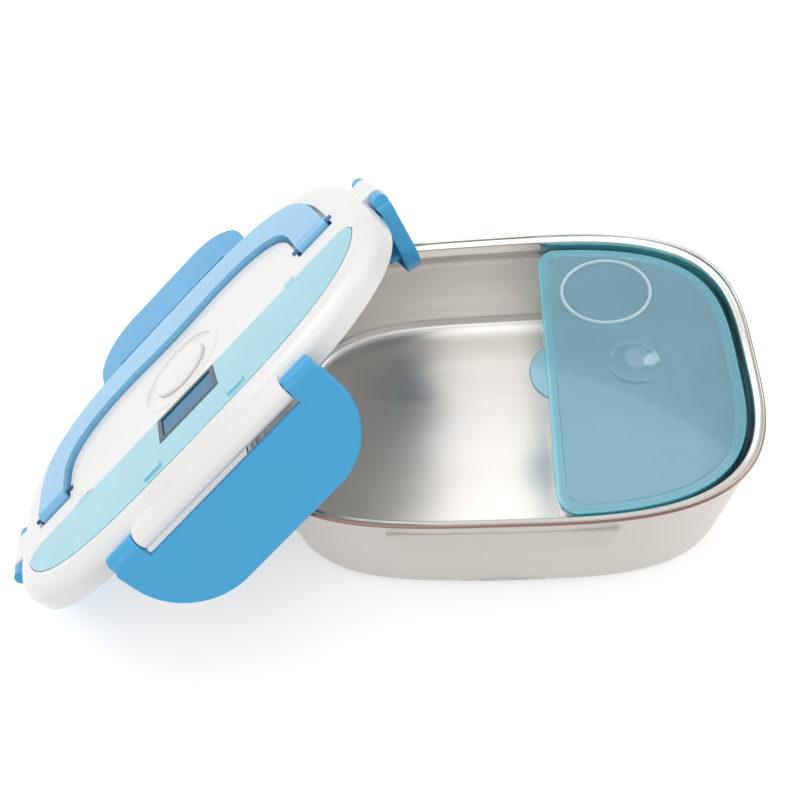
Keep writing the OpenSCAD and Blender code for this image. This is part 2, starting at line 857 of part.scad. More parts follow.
// ---- latches -------------------------------------------------------------

// rounded plate outline in X and Z, hanging from its top edge
function plate_outline(half, drop, bottom_r, top_r = 4, arc = 10) = concat(
    [for (i = [0:arc]) let (t = 90 - 90 * i / arc) [half - top_r + top_r * cos(t), top_r * sin(t) - top_r]],
    [for (i = [0:arc]) let (t = -90 * i / arc)
        [half - bottom_r + bottom_r * cos(t), bottom_r - drop + bottom_r * sin(t)]],
    [for (i = [0:arc]) let (t = -90 - 90 * i / arc)
        [bottom_r - half + bottom_r * cos(t), bottom_r - drop + bottom_r * sin(t)]],
    [for (i = [0:arc]) let (t = 180 - 90 * i / arc)
        [top_r - half + top_r * cos(t), top_r * sin(t) - top_r]]);

// plate with ears round the pin and a hook that snaps under the casing's catch
module latch(hinge, drop, bottom_r, hook_half) {
    half = hinge[3];
    r = hinge[4];
    inner = hinge[5] - r;
    ear = hinge[2] + 0.6;
    difference() {
        union() {
            translate([0, inner, 0])
                rotate([90, 0, 0])
                    linear_extrude(height = hinge[5])
                        polygon(plate_outline(half, drop, bottom_r));
            children();
            rod_x(ear, half - 1.4, 0, 0, r);
            rod_x(1.4 - half, -ear, 0, 0, r);
            block([-hook_half, inner - 1, -hook_drop - hook_h],
                [hook_half, hinge[1] + lid_overlap + hook_bite, -hook_drop]);
        }
        block([-ear, -r - 1, -r - 1.4], [ear, r + 2, r + 1]);
        rod_x(2.8 - half, half - 2.8, 0, 0, pin_r + running_gap);
    }
}

// how far below the pin the lid's lower edge lies, at a distance in from the pin, when the latch is
// folded in by an angle
function edge_below(inward, fold) = (latch_axis_z + 0.5 + inward * sin(fold)) / cos(fold);

// prism along X of a profile in Y and Z
module along_x(half, profile) {
    translate([-half, 0, 0])
        rotate([90, 0, 90])
            linear_extrude(height = 2 * half)
                polygon(profile);
}

// walls round the edge of a small latch, cut back where it folds under the lid's edge
module latch_walls(hinge, drop, bottom_r, fold) {
    half = hinge[3];
    r = hinge[4];
    inner = hinge[5] - r;
    start = max(inner, (hinge[1] + 0.6) * cos(fold) - latch_axis_z * sin(fold) - 0.5);
    round_bar = concat([for (a = [0:15:180]) [r * cos(a), r * sin(a)]],
        [for (a = [180:15:360]) [r * cos(a), r * sin(a) + r - drop]]);
    difference() {
        intersection() {
            along_x(half, round_bar);
            translate([0, r + 1, 0])
                rotate([90, 0, 0])
                    linear_extrude(height = 2 * r + 2)
                        polygon(plate_outline(half, drop, bottom_r));
        }
        // hollow between the walls
        translate([0, r + 1, 0])
            rotate([90, 0, 0])
                linear_extrude(height = r + 1 - inner + 0.2)
                    polygon(plate_outline(half - latch_wall, drop - latch_wall, bottom_r - latch_wall));
        block([latch_wall - half, inner - 0.2, -10], [half - latch_wall, r + 1, r + 1]);
        // relief for the lid's edge
        along_x(half + 1, [[start, -r], [start, -edge_below(start, fold)], [r + 1, -edge_below(r + 1, fold)],
            [r + 3, -edge_below(r + 1, fold)], [r + 3, 0], [r + 0.1, 0]]);
    }
}

module placed(hinge, swing) {
    in_lid()
        at_hinge(hinge)
            rotate([-swing, 0, 0])
                children();
}

module latch_front() {
    color(blue)
    placed(front_hinge, front_latch_swing)
        latch(front_hinge, large_latch_l, large_corner_r, large_hook_half);
}

module latch_back() {
    color(blue)
    placed(back_hinge, back_latch_swing)
        latch(back_hinge, large_latch_l, large_corner_r, large_hook_half);
}

module latch_left() {
    color(blue)
    placed(left_hinge, left_latch_swing)
        latch(left_hinge, small_latch_l, small_corner_r, small_hook_half)
            latch_walls(left_hinge, small_latch_l, small_corner_r, -left_latch_swing);
}

module latch_right() {
    color(blue)
    placed(right_hinge, right_latch_swing)
        latch(right_hinge, small_latch_l, small_corner_r, small_hook_half)
            latch_walls(right_hinge, small_latch_l, small_corner_r, max(0, -right_latch_swing));
}

module latch_pins() {
    color("#B9BCBE")
    in_lid()
        for (h = HINGES)
            at_hinge(h)
                rod_x(3.4 - h[3], h[3] - 3.4, 0, 0, pin_r);
}

base_shell();
bottom_cover();
rubber_feet();
bottom_screws();
inner_well();
heater_plate();
ptc_heaters();
heater_clamp();
thermostat();
thermal_fuse();
lead_wires();
power_inlet();
inlet_pins();
indicator_lamp();
inlet_flap();
flap_pin();
steel_tray();
side_dish_box();
side_dish_cover();
lid_shell();
lid_inner_panel();
lid_gasket();
spoon_cover();
spoon_cover_pins();
label_frame();
label_card();
vent_plug();
vent_seal();
carry_handle();
handle_pins();
latch_front();
latch_back();
latch_left();
latch_right();
latch_pins();
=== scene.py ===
import json
import math

import bpy
from bpy.props import FloatProperty, FloatVectorProperty, IntProperty, PointerProperty
from mathutils import Matrix, Vector


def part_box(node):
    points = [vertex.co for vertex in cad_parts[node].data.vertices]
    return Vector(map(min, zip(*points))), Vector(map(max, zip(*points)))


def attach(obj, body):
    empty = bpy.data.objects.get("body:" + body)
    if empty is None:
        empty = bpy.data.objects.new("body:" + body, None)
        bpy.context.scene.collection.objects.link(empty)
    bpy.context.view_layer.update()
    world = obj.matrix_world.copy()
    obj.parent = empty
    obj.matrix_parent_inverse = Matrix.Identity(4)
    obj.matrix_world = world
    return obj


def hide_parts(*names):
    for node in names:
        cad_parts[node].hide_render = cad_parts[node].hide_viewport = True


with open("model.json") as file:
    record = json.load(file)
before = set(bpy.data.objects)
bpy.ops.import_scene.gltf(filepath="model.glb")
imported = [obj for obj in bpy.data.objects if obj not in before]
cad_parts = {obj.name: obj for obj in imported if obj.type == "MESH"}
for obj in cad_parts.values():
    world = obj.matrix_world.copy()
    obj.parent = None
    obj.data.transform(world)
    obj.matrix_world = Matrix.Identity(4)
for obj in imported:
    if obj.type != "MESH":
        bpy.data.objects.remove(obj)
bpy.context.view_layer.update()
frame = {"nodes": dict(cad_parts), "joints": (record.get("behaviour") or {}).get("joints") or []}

bl_info = {
    "name": "Electric lunch box",
    "version": (1, 0, 0),
    "blender": (4, 5, 0),
    "location": "View3D > Sidebar > Lunch box",
    "description": "Moulded casing, steel tray, side-dish box and leaning lid of an electric lunch box",
    "category": "Object",
}

# The pieces are modelled in millimetres and turned into metres when they are put in place.
MILLIMETRE = 0.001


def in_millimetres(node):
    """Lowest and highest corner of a node at rest, in millimetres."""
    low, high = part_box(node)
    return Vector(low) / MILLIMETRE, Vector(high) / MILLIMETRE


def joint(name):
    """The joint of that name, as the frame holds it."""
    return next(entry for entry in frame["joints"] if entry["name"] == name)


def linear(hex_colour):
    """An sRGB hex colour as linear RGBA."""
    channels = [int(hex_colour[i:i + 2], 16) / 255 for i in (1, 3, 5)]
    return tuple(c / 12.92 if c <= 0.04045 else ((c + 0.055) / 1.055) ** 2.4 for c in channels) + (1.0,)


TRAY_LOW, TRAY_HIGH = in_millimetres("steel_tray")
COVER_HIGH = in_millimetres("side_dish_cover")[1]


# ---- sizes and colours ----


def size(name, default, description):
    """A length in millimetres that a user may change."""
    return FloatProperty(name=name, default=default, min=0.0, description=description)


def swing(name, degrees):
    """How far a latch stands out from hanging straight down."""
    return FloatProperty(name=name, default=math.radians(degrees), subtype="ANGLE",
                         description="How far the latch stands out from the skirt")


def colour(name, hex_colour, description):
    """A colour that a user may change."""
    return FloatVectorProperty(name=name, size=4, subtype="COLOR", min=0.0, max=1.0,
                               default=linear(hex_colour), description=description)


class LunchBoxCasing(bpy.types.PropertyGroup):
    """Sizes of the casing and the tray, in millimetres."""

    half_length: size("Half length", TRAY_HIGH.x, "Half the length over the tray's rim")
    half_width: size("Half width", TRAY_HIGH.y, "Half the width over the tray's rim")
    rim_height: size("Rim height", TRAY_HIGH.z, "Height of the tray's rim above the table")
    wall: size("Wall", 2.2, "Wall of the moulded casing")
    squareness: FloatProperty(name="Squareness", default=3.4, min=2.0, max=6.0,
                              description="Power of the outline, 2 is an ellipse and higher is squarer")
    outline_points: IntProperty(name="Outline points", default=160, min=48, max=320,
                                description="Points round an outline")
    foot: size("Foot", 1.5, "Height of the casing's lower edge above the table")
    catch_height: size("Catch height", TRAY_HIGH.z - 25, "Lower edge of the catches above the table")
    catch_rise: size("Catch rise", 15.5, "Height of the catches")
    arch_half: size("Arch half width", 24, "Half the width of the inlet's arch")
    arch_rise: size("Arch rise", 10, "Height of the inlet's arch")
    arch_foot: size("Arch foot", 2.6, "Height of the arch's foot above the table")
    inlet_height: size("Inlet height", 7.6, "Height of the inlet's centre above the table")
    dish_left: size("Side-dish edge", 24.5, "Distance of the side-dish box's straight side from the centre")


class LunchBoxLid(bpy.types.PropertyGroup):
    """Sizes of the lid, its latches and its handle, in millimetres."""

    overlap: size("Overlap", 4, "How far the lid's skirt stands past the tray's rim")
    height: size("Height", 15, "Height of the lid's top face above its skirt")
    strip_edge: size("Strip edge", 28, "Distance of the spoon compartment's straight edge from the centre")
    strip_border: size("Strip border", 10, "White border round the spoon compartment")
    strip_corner: size("Strip corner", 9, "Radius of the spoon compartment's corners")
    handle_half_length: size("Handle half length", 102, "Half the length of the carry handle")
    handle_half_width: size("Handle half width", 73.5, "Half the width of the carry handle")
    handle_arm: size("Handle arm", 18.5, "Width of the handle's arms")
    handle_bar: size("Handle bar", 28, "Width of the handle's bar")
    handle_thickness: size("Handle thickness", 8, "Thickness of the handle")
    grip_bulge: size("Grip bulge", 4, "How far the grip stands in from the bar's inner edge")
    vent_radius: size("Vent radius", 26, "Radius of the ring round the steam vent")
    large_latch_half: size("Large latch", 61, "Half the width of the front and back latch")
    large_latch_drop: size("Large latch length", 45, "Length of the front and back latch below the pin")
    small_latch_half: size("Small latch", 22, "Half the width of the left and right latch")
    small_latch_drop: size("Small latch length", 43, "Length of the left and right latch below the pin")
    front_swing: swing("Front latch", 6)
    back_swing: swing("Back latch", 96)
    left_swing: swing("Left latch", -45)
    right_swing: swing("Right latch", -14)


class LunchBoxColours(bpy.types.PropertyGroup):
    """Colours of the plastics and metals."""

    casing: colour("Casing", "#D6CEC5", "Off-white polypropylene of the casing")
    lid: colour("Lid", "#F1EFEC", "White polypropylene of the lid")
    latch: colour("Latches", "#46ACE0", "Blue ABS of the latches")
    handle: colour("Handle", "#80C1E8", "Lighter blue of the carry handle")
    strip: colour("Spoon cover", "#AAEAF7", "Pale cyan of the spoon cover")
    dish_cover: colour("Side-dish cover", "#A6DDF0", "Milky grey-blue of the side-dish cover's panel")
    # Partly the thicker rim's own deeper tint and partly painted highlight: the rim's top is drawn brighter
    # and milkier than the panel to stand for the gloss along it.
    dish_rim_tint_and_highlight: colour("Side-dish rim", "#8AD8EA", "Brighter cyan of the side-dish cover's thick rim")
    # Painted glow: the cover's edge is drawn in a stronger cyan to stand for light that runs along the sheet,
    # where the edge is seen end on.
    dish_edge_glow: colour("Side-dish edge", "#74E0F2", "Strong cyan of the side-dish cover's edge, seen end on")
    # Painted highlight: the oval bead is drawn pale to stand for the lamp's highlight along it.
    dish_bead_highlight: colour("Side-dish bead", "#CDEBF4", "Pale polish on the oval bead of the side-dish cover")
    clear: colour("Side-dish box", "#E6F1F3", "Clear polypropylene of the side-dish box")
    steel: colour("Steel", "#DAD7D3", "Stainless steel of the tray")
    # Painted shade: the outside of the tray's rolled rim is drawn dark and brownish to stand for the shadow
    # in the gap between the rim and the casing.
    rim_gap_shade: colour("Rolled edge", "#8C7068", "Brownish steel on the outside of the tray's rolled rim")
    window: colour("Window", "#04709A", "Teal window on the spoon cover")


# ---- modelling helpers ----


def sizes():
    """The settings of the scene: casing, lid and colours."""
    scene = bpy.context.scene
    return scene.lunch_box_casing, scene.lunch_box_lid, scene.lunch_box_colours


def primitive(kind, name, **settings):
    """Adds one of the stock meshes, such as a cube, and names it."""
    bpy.ops.object.select_all(action="DESELECT")
    getattr(bpy.ops.mesh, f"primitive_{kind}_add")(**settings)
    piece = bpy.context.object
    piece.name = piece.data.name = name
    return piece


def only(piece):
    """Selects one piece and makes it active."""
    bpy.ops.object.select_all(action="DESELECT")
    piece.select_set(True)
    bpy.context.view_layer.objects.active = piece


def squared(value, power):
    """Signed power, which squares off a circle."""
    return math.copysign(abs(value) ** (2 / power), value)


def squared_back(value, power):
    """Inverse of squared()."""
    return math.copysign(abs(value) ** (power / 2), value)


def squircle(half_x, half_y, turns=None):
    """Points between an ellipse and a rectangle, all round or at the turns given in radians."""
    casing = sizes()[0]
    turns = turns or [2 * math.pi * i / casing.outline_points for i in range(casing.outline_points)]
    power = casing.squareness
    return [(half_x * squared(math.cos(t), power), half_y * squared(math.sin(t), power)) for t in turns]


def outside_of(point, half_x, half_y):
    """Whether a point in metres lies outside a squircle of two half sizes in millimetres."""
    power = sizes()[0].squareness
    return (abs(point.x / (half_x * MILLIMETRE)) ** power + abs(point.y / (half_y * MILLIMETRE)) ** power) > 1


def arc(centre, radius, start, end, steps=8):
    """Points on a circle between two angles in degrees."""
    angles = [math.radians(start + (end - start) * i / steps) for i in range(steps + 1)]
    return [(centre[0] + radius * math.cos(a), centre[1] + radius * math.sin(a)) for a in angles]


def quarter_round(radius, steps=4):
    """(inset, rise) pairs of a rounded edge, or one pair for a sharp one."""
    turns = [math.pi / 2 * i / steps for i in range(steps + 1)]
    return [(radius * (1 - math.sin(a)), radius * (1 - math.cos(a))) for a in turns] if radius else [(0, 0)]


def above(level, entries):
    """Entries of an (inset, height) profile with their heights counted from a level."""
    return [(inset, level + height, *rest) for inset, height, *rest in entries]


def loft(name, outline, rings, tube=False):
    """Solid through rings of (lowest x, highest x, half width, height), each the outline stretched to fit.

    A tube has no caps: its last ring is bridged to its first one."""
    piece = primitive("circle", name, vertices=len(outline), radius=1, fill_type="NGON")
    left, right = min(p[0] for p in outline), max(p[0] for p in outline)
    widest = max(abs(p[1]) for p in outline)
    low, high, half, height = rings[0]
    for vertex, (x, y) in zip(piece.data.vertices, outline):
        vertex.co = (low + (x - left) * (high - low) / (right - left), y * half / widest, height)
    bpy.ops.object.mode_set(mode="EDIT")
    bpy.ops.mesh.select_all(action="SELECT")
    for (low0, high0, half0, z0), (low1, high1, half1, z1) in zip(rings, rings[1:]):
        stretch = (high1 - low1) / (high0 - low0)
        bpy.ops.mesh.extrude_region_move()
        bpy.ops.transform.resize(value=(stretch, half1 / half0, 1), center_override=(0, 0, 0))
        bpy.ops.transform.translate(value=(low1 - stretch * low0, 0, z1 - z0))
    bpy.ops.object.mode_set(mode="OBJECT")
    if tube:
        bridge_ends(piece, len(outline))
    point_outwards(piece)
    return piece


def bridge_ends(piece, corners):
    """Takes off the two caps of a loft and joins the open ends."""
    only(piece)
    for face in piece.data.polygons:
        face.select = len(face.vertices) == corners
    bpy.ops.object.mode_set(mode="EDIT")
    bpy.ops.mesh.select_mode(type="FACE")
    bpy.ops.mesh.delete(type="ONLY_FACE")
    bpy.ops.mesh.select_mode(type="EDGE")
    bpy.ops.mesh.select_non_manifold()
    bpy.ops.mesh.bridge_edge_loops()
    bpy.ops.object.mode_set(mode="OBJECT")


def point_outwards(piece):
    """Merges doubles and turns every face outwards."""
    only(piece)
    bpy.ops.object.mode_set(mode="EDIT")
    bpy.ops.mesh.select_mode(type="VERT")
    bpy.ops.mesh.select_all(action="SELECT")
    bpy.ops.mesh.remove_doubles(threshold=0.001)
    bpy.ops.mesh.normals_make_consistent(inside=False)
    bpy.ops.object.mode_set(mode="OBJECT")


def bowl(name, half_x, half_y, profile, tube=False):
    """Solid of the casing's outline through (inset, height) pairs."""
    rings = [(inset - half_x, half_x - inset, half_y - inset, height) for inset, height in profile]
    return loft(name, squircle(half_x, half_y), rings, tube)


def turned(name, profile, count=64):
    """Solid turned about the Z axis from (radius, height) pairs."""
    turns = [2 * math.pi * i / count for i in range(count)]
    return loft(name, [(math.cos(t), math.sin(t)) for t in turns], [(-r, r, r, z) for r, z in profile])


def block(name, low, high):
    """Box between two corners, as a start for a shaped piece."""
    piece = primitive("cube", name, size=1)
    low, high = Vector(low), Vector(high)
    piece.location = (low + high) / 2
    piece.scale = high - low
    bpy.ops.object.transform_apply(location=True, rotation=True, scale=True)
    return piece


def moved(piece, matrix):
    """Moves a piece's mesh by a matrix."""
    only(piece)
    piece.matrix_world = matrix
    bpy.ops.object.transform_apply(location=True, rotation=True, scale=True)
    return piece


def prism(name, outline, low, high, edge=0.0):
    """Straight solid of an outline between two heights, its two rims rounded to the radius of edge."""
    xs, ys = [p[0] for p in outline], [p[1] for p in outline]
    middle, half = (min(ys) + max(ys)) / 2, (max(ys) - min(ys)) / 2
    lead = quarter_round(edge)
    insets = ([(inset, low + rise) for inset, rise in lead]
              + [(inset, high - rise) for inset, rise in reversed(lead)])
    piece = loft(name, [(x, y - middle) for x, y in outline],
                 [(min(xs) + inset, max(xs) - inset, half - inset, height) for inset, height in insets])
    return moved(piece, Matrix.Translation((0, middle, 0)))


def along_x(name, profile, low, high, edge=0.0):
    """Straight solid along X of a profile in Y and Z."""
    turn = Matrix(((0, 0, 1, 0), (1, 0, 0, 0), (0, 1, 0, 0), (0, 0, 0, 1)))
    return moved(prism(name, profile, low, high, edge), turn)


def along_y(name, outline, front, back, edge=0.0):
    """Straight solid along Y of an outline in X and Z."""
    piece = prism(name, outline, 0, back - front, edge)
    return moved(piece, Matrix.Translation((0, back, 0)) @ Matrix.Rotation(math.pi / 2, 4, "X"))


def rod(name, start, end, y, z, radius, rounding=0.0):
    """Rod along X with rounded ends."""
    lead = [(radius - inset, rise) for inset, rise in quarter_round(rounding)]
    profile = lead + [(r, end - start - rise) for r, rise in reversed(lead)]
    piece = turned(name, profile, 48)
    return moved(piece, Matrix.Translation((start, y, z)) @ Matrix.Rotation(math.pi / 2, 4, "Y"))


def modify(piece, kind, **settings):
    """Adds a modifier to a piece, sets it and applies it."""
    only(piece)
    bpy.ops.object.modifier_add(type=kind)
    modifier = piece.modifiers[-1]
    for key, value in settings.items():
        setattr(modifier, key, value)
    bpy.ops.object.modifier_apply(modifier=modifier.name)
    return piece


def combine(piece, tool, operation="DIFFERENCE"):
    """Cuts a tool from a piece, or adds it, and takes the tool away."""
    modify(piece, "BOOLEAN", object=tool, operation=operation, solver="EXACT")
    bpy.data.objects.remove(tool)
    return piece


def soften(piece, radius, segments=3):
    """Rounds the sharp edges of a piece."""
    return modify(piece, "BEVEL", width=radius, segments=segments, limit_method="ANGLE",
                  angle_limit=math.radians(32), miter_outer="MITER_ARC")


def place(piece, matrix):
    """Shades a piece, turns millimetres into metres and puts it in its place. Slivers left by the cuts are
    merged away first, because they would tilt the shading of the flat faces beside them."""
    sliver = 0.01
    only(piece)
    bpy.ops.object.mode_set(mode="EDIT")
    bpy.ops.mesh.select_all(action="SELECT")
    bpy.ops.mesh.remove_doubles(threshold=sliver)
    bpy.ops.mesh.dissolve_degenerate(threshold=sliver)
    bpy.ops.object.mode_set(mode="OBJECT")
    bpy.ops.object.shade_smooth_by_angle(angle=math.radians(40))
    modify(piece, "WEIGHTED_NORMAL", keep_sharp=True, weight=100)
    return moved(piece, matrix @ Matrix.Scale(MILLIMETRE, 4))


def hand_over(piece, body, node, material, matrix=Matrix()):
    """Places a piece and gives it its material, its body and the node that it stands for."""
    place(piece, matrix)
    piece.data.materials.clear()
    piece.data.materials.append(material)
    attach(piece, body)
    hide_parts(node)


# ---- materials ----


def add_node(tree, kind, inputs=None, **settings):
    """Adds a shader node, sets its properties and its inputs, and links an input that is a socket."""
    node = tree.nodes.new(kind)
    for key, value in settings.items():
        setattr(node, key, value)
    for key, value in (inputs or {}).items():
        if isinstance(value, bpy.types.NodeSocket):
            tree.links.new(value, node.inputs[key])
        else:
            node.inputs[key].default_value = value
    return node


def empty_tree(owner):
    """The node tree of a material or a world, with nothing in it."""
    owner.use_nodes = True
    owner.node_tree.nodes.clear()
    return owner.node_tree


def start_material(name, **values):
    """A material with one shader: returns it, its node tree, its shader and its Object coordinates."""
    material = bpy.data.materials.new(name)
    tree = empty_tree(material)
    shader = add_node(tree, "ShaderNodeBsdfPrincipled",
                      {key.replace("_", " "): value for key, value in values.items()})
    add_node(tree, "ShaderNodeOutputMaterial", {"Surface": shader.outputs["BSDF"]})
    place_of = add_node(tree, "ShaderNodeTexCoord").outputs["Object"]
    return material, tree, shader, place_of


def shift(colour_value, factor):
    """A colour made darker or lighter by a factor."""
    return tuple(min(1.0, c * factor) for c in colour_value[:3]) + (1.0,)


def plastic(name, base, roughness, flow, grain, haze=None, IOR=1.49, **values):
    """Plastic whose tone drifts and whose skin has a grain.

    flow is the drift's width in mm, its detail and its darkest and lightest factor; grain is its width in mm,
    its detail, its strength and its depth in mm; haze is the least and the most that it adds to roughness."""
    material, tree, shader, place_of = start_material(
        name, Base_Color=base, Roughness=roughness, IOR=IOR, **values)
    if flow:
        width, detail, dark, light = flow
        drift = add_node(tree, "ShaderNodeTexNoise",
                         {"Vector": place_of, "Scale": 1 / (width * MILLIMETRE), "Detail": detail})
        tones = add_node(tree, "ShaderNodeMix", {"Factor": drift.outputs["Fac"], "A": shift(base, dark),
                                                 "B": shift(base, light)}, data_type="RGBA")
        tree.links.new(tones.outputs["Result"], shader.inputs["Base Color"])
    width, detail, strength, depth = grain
    skin = add_node(tree, "ShaderNodeTexNoise",
                    {"Vector": place_of, "Scale": 1 / (width * MILLIMETRE), "Detail": detail}).outputs["Fac"]
    bump = add_node(tree, "ShaderNodeBump",
                    {"Height": skin, "Strength": strength, "Distance": depth * MILLIMETRE})
    tree.links.new(bump.outputs["Normal"], shader.inputs["Normal"])
    if haze:
        spread = add_node(tree, "ShaderNodeMapRange",
                          {"Value": skin, "To Min": roughness + haze[0], "To Max": roughness + haze[1]})
        tree.links.new(spread.outputs["Result"], shader.inputs["Roughness"])
    return material


def moulded_plastic(name, base, roughness, flow_mm=45.0, tone=0.05, **values):
    """Injection-moulded plastic: a soft gloss with a faint orange peel, and a tone that drifts with the flow
    of the melt."""
    return plastic(name, base, roughness, (flow_mm, 3, 1 - tone, 1 + tone), (3, 2, 0.12, 0.02), (-0.05, 0.07),
                   **values)


def milky_plastic(name, tint, clearness, roughness=0.12):
    """Thin tinted polypropylene: lets part of the light through and scatters the rest, so it looks milky."""
    return plastic(name, tint, roughness, (26, 2, 0.92, 1.1), (9, 1, 0.2, 0.12), Coat_Weight=0.8,
                   Coat_Roughness=0.03, Transmission_Weight=clearness)


def clear_plastic(name, tint, roughness, clearness):
    """Clear or tinted polypropylene: see-through with a haze, and a slow ripple that bends what is behind."""
    return plastic(name, tint, roughness, None, (14, 1, 0.25, 0.2), (0, 0.1), Transmission_Weight=clearness)


def soft_silicone(name, base, roughness=0.55):
    """Moulded silicone or rubber: dull, with a fine bloom on its surface."""
    return plastic(name, base, roughness, (2, 4, 0.9, 1.08), (2, 4, 0.3, 0.03), IOR=1.42)


def brushed_steel(name, base, roughness, along, line_mm=1.2, run_mm=180.0, polished_above=None):
    """Stainless steel sheet brushed in one direction: faint lines and broad soft streaks along it. The real
    lines are 0.1 mm apart and are drawn coarser to show. Above a height it is drawn smooth by the press."""
    material, tree, shader, place_of = start_material(name, Metallic=1.0, Roughness=roughness)
    tones = []
    for width, length in ((line_mm, run_mm), (7 * line_mm, 2.5 * run_mm)):
        scales = [1 / ((length if axis == along else width) * MILLIMETRE) for axis in "XYZ"]
        stretched = add_node(tree, "ShaderNodeMapping", {"Vector": place_of, "Scale": scales})
        noise = add_node(tree, "ShaderNodeTexNoise",
                         {"Vector": stretched.outputs["Vector"], "Scale": 1.0, "Detail": 1.0})
        tones.append(noise.outputs["Fac"])
    both = add_node(tree, "ShaderNodeMix", {"Factor": 0.6, "A": tones[0], "B": tones[1]})
    tint = add_node(tree, "ShaderNodeMix", {"Factor": both.outputs["Result"], "A": shift(base, 0.92),
                                            "B": shift(base, 1.06)}, data_type="RGBA")
    spread = add_node(tree, "ShaderNodeMapRange", {"Value": tones[1], "To Min": roughness - 0.05,
                                                   "To Max": roughness + 0.06}).outputs["Result"]
    if polished_above:
        height = add_node(tree, "ShaderNodeSeparateXYZ", {"Vector": place_of}).outputs["Z"]
        polish = add_node(tree, "ShaderNodeMapRange",
                          {"Value": height, "From Min": (polished_above - 8) * MILLIMETRE,
                           "From Max": polished_above * MILLIMETRE, "To Min": 1.0, "To Max": 0.45})
        spread = add_node(tree, "ShaderNodeMath", {0: spread, 1: polish.outputs["Result"]},
                          operation="MULTIPLY").outputs["Value"]
    tree.links.new(tint.outputs["Result"], shader.inputs["Base Color"])
    tree.links.new(spread, shader.inputs["Roughness"])
    return material


# ---- casing and tray ----


TRAY_SHEET = 0.8     # thickness of the tray's steel
RECESS_DEPTH = 7.2   # from the line of the rim in to the back of the inlet's recess
INLET_HALVES = (9.2, 3.7)   # half the width and the height of the hole for the inlet
LAMP_AT = (14, 6.2)  # x and height of the indicator lamp
# The tray's rolled rim and the flare inside it, as (inset, height over the rim) pairs from outside to inside.
ROLLED_RIM = [(3.6, -2.3), (0.9, -2.4), (0.35, -2.15), (0.05, -1.6), (0, -1.1), (0.12, -0.6), (0.45, -0.2),
              (0.85, 0), (1.2, -0.1), (1.45, -0.4), (1.65, -1.1), (1.95, -1.65), (2.6, -1.95), (3.6, -2.1),
              (4.1, -2.5), (4.3, -3.2), (4.4, -4.6)]


def in_rim_shade_band(point):
    """Whether a point in metres lies on the outer side of the tray's rolled rim, outside its crest, where the
    painted shade of the gap goes.
    """
    casing = sizes()[0]
    crest, roll = 0.7, 2.3
    return (point.z > (casing.rim_height - roll) * MILLIMETRE
            and outside_of(point, casing.half_length - crest, casing.half_width - crest))


class LUNCHBOX_OT_tray(bpy.types.Operator):
    """Adds the pressed steel tray with its rolled rim"""

    bl_idname = "lunchbox.tray"
    bl_label = "Steel tray"

    def execute(self, context):
        casing, _, colours = sizes()
        rim = casing.rim_height
        floor = TRAY_LOW.z + TRAY_SHEET
        outside = [(26.6, -TRAY_SHEET), (18.6, -0.3), (13.9, 1.7), (11.9, 4.2), (11, 6.4), (9.8, 11)]
        edge = [(5.5, -11.6), (4.3, -9), (3.75, -7), *ROLLED_RIM, (4.6, -7.2), (5.1, -9), (6.3, -11.8)]
        inside = [(10.6, 11), (11.1, 8.2), (11.8, 6), (13, 4), (14.6, 2.4), (16.6, 1.2), (19, 0.5), (22, 0.1),
                  (26, 0)]
        profile = above(floor, outside) + above(rim, edge) + above(floor, inside)
        tray = bowl("tray_pressing", casing.half_length, casing.half_width, profile)
        hand_over(tray, "tray", "steel_tray",
                  brushed_steel("brushed_stainless_sheet", colours.steel, 0.32, "X", polished_above=rim - 8))
        # The outer side of the rolled rim gets the painted shade of the gap above the casing.
        tray.data.materials.append(
            brushed_steel("rolled_rim_painted_shade", colours.rim_gap_shade, 0.3, "X", line_mm=2, run_mm=20))
        for face in tray.data.polygons:
            face.material_index = 1 if in_rim_shade_band(face.center) else 0
        return {"FINISHED"}


def arch_outline(grow):
    """Outline of the inlet's arch: a round top over a flat foot."""
    casing = sizes()[0]
    half, rise = casing.arch_half, casing.arch_rise
    radius = (half * half + rise * rise) / (2 * rise)
    reach = math.degrees(math.asin(half / radius))
    top = casing.arch_foot + rise - radius
    return arc((0, top), radius + grow, 90 - reach, 90 + reach, 32)


def catch(turn, reach, half):
    """Ramp with slanted ends and rounded edges, thickest at its foot, that a latch hooks under."""
    casing = sizes()[0]
    low, high = casing.catch_height, casing.catch_height + casing.catch_rise
    out, root, slant, taper = 2.6, 4, 3, 1.7
    ramp = block("catch", (-half, -reach - out, low), (half, root - reach, high))
    for vertex in ramp.data.vertices:
        if vertex.co.z < (low + high) / 2:
            vertex.co.x -= math.copysign(slant, vertex.co.x)
        elif vertex.co.y < -reach:
            vertex.co.y += taper
    soften(ramp, 0.6, segments=4)
    return moved(ramp, Matrix.Rotation(turn, 4, "Z"))


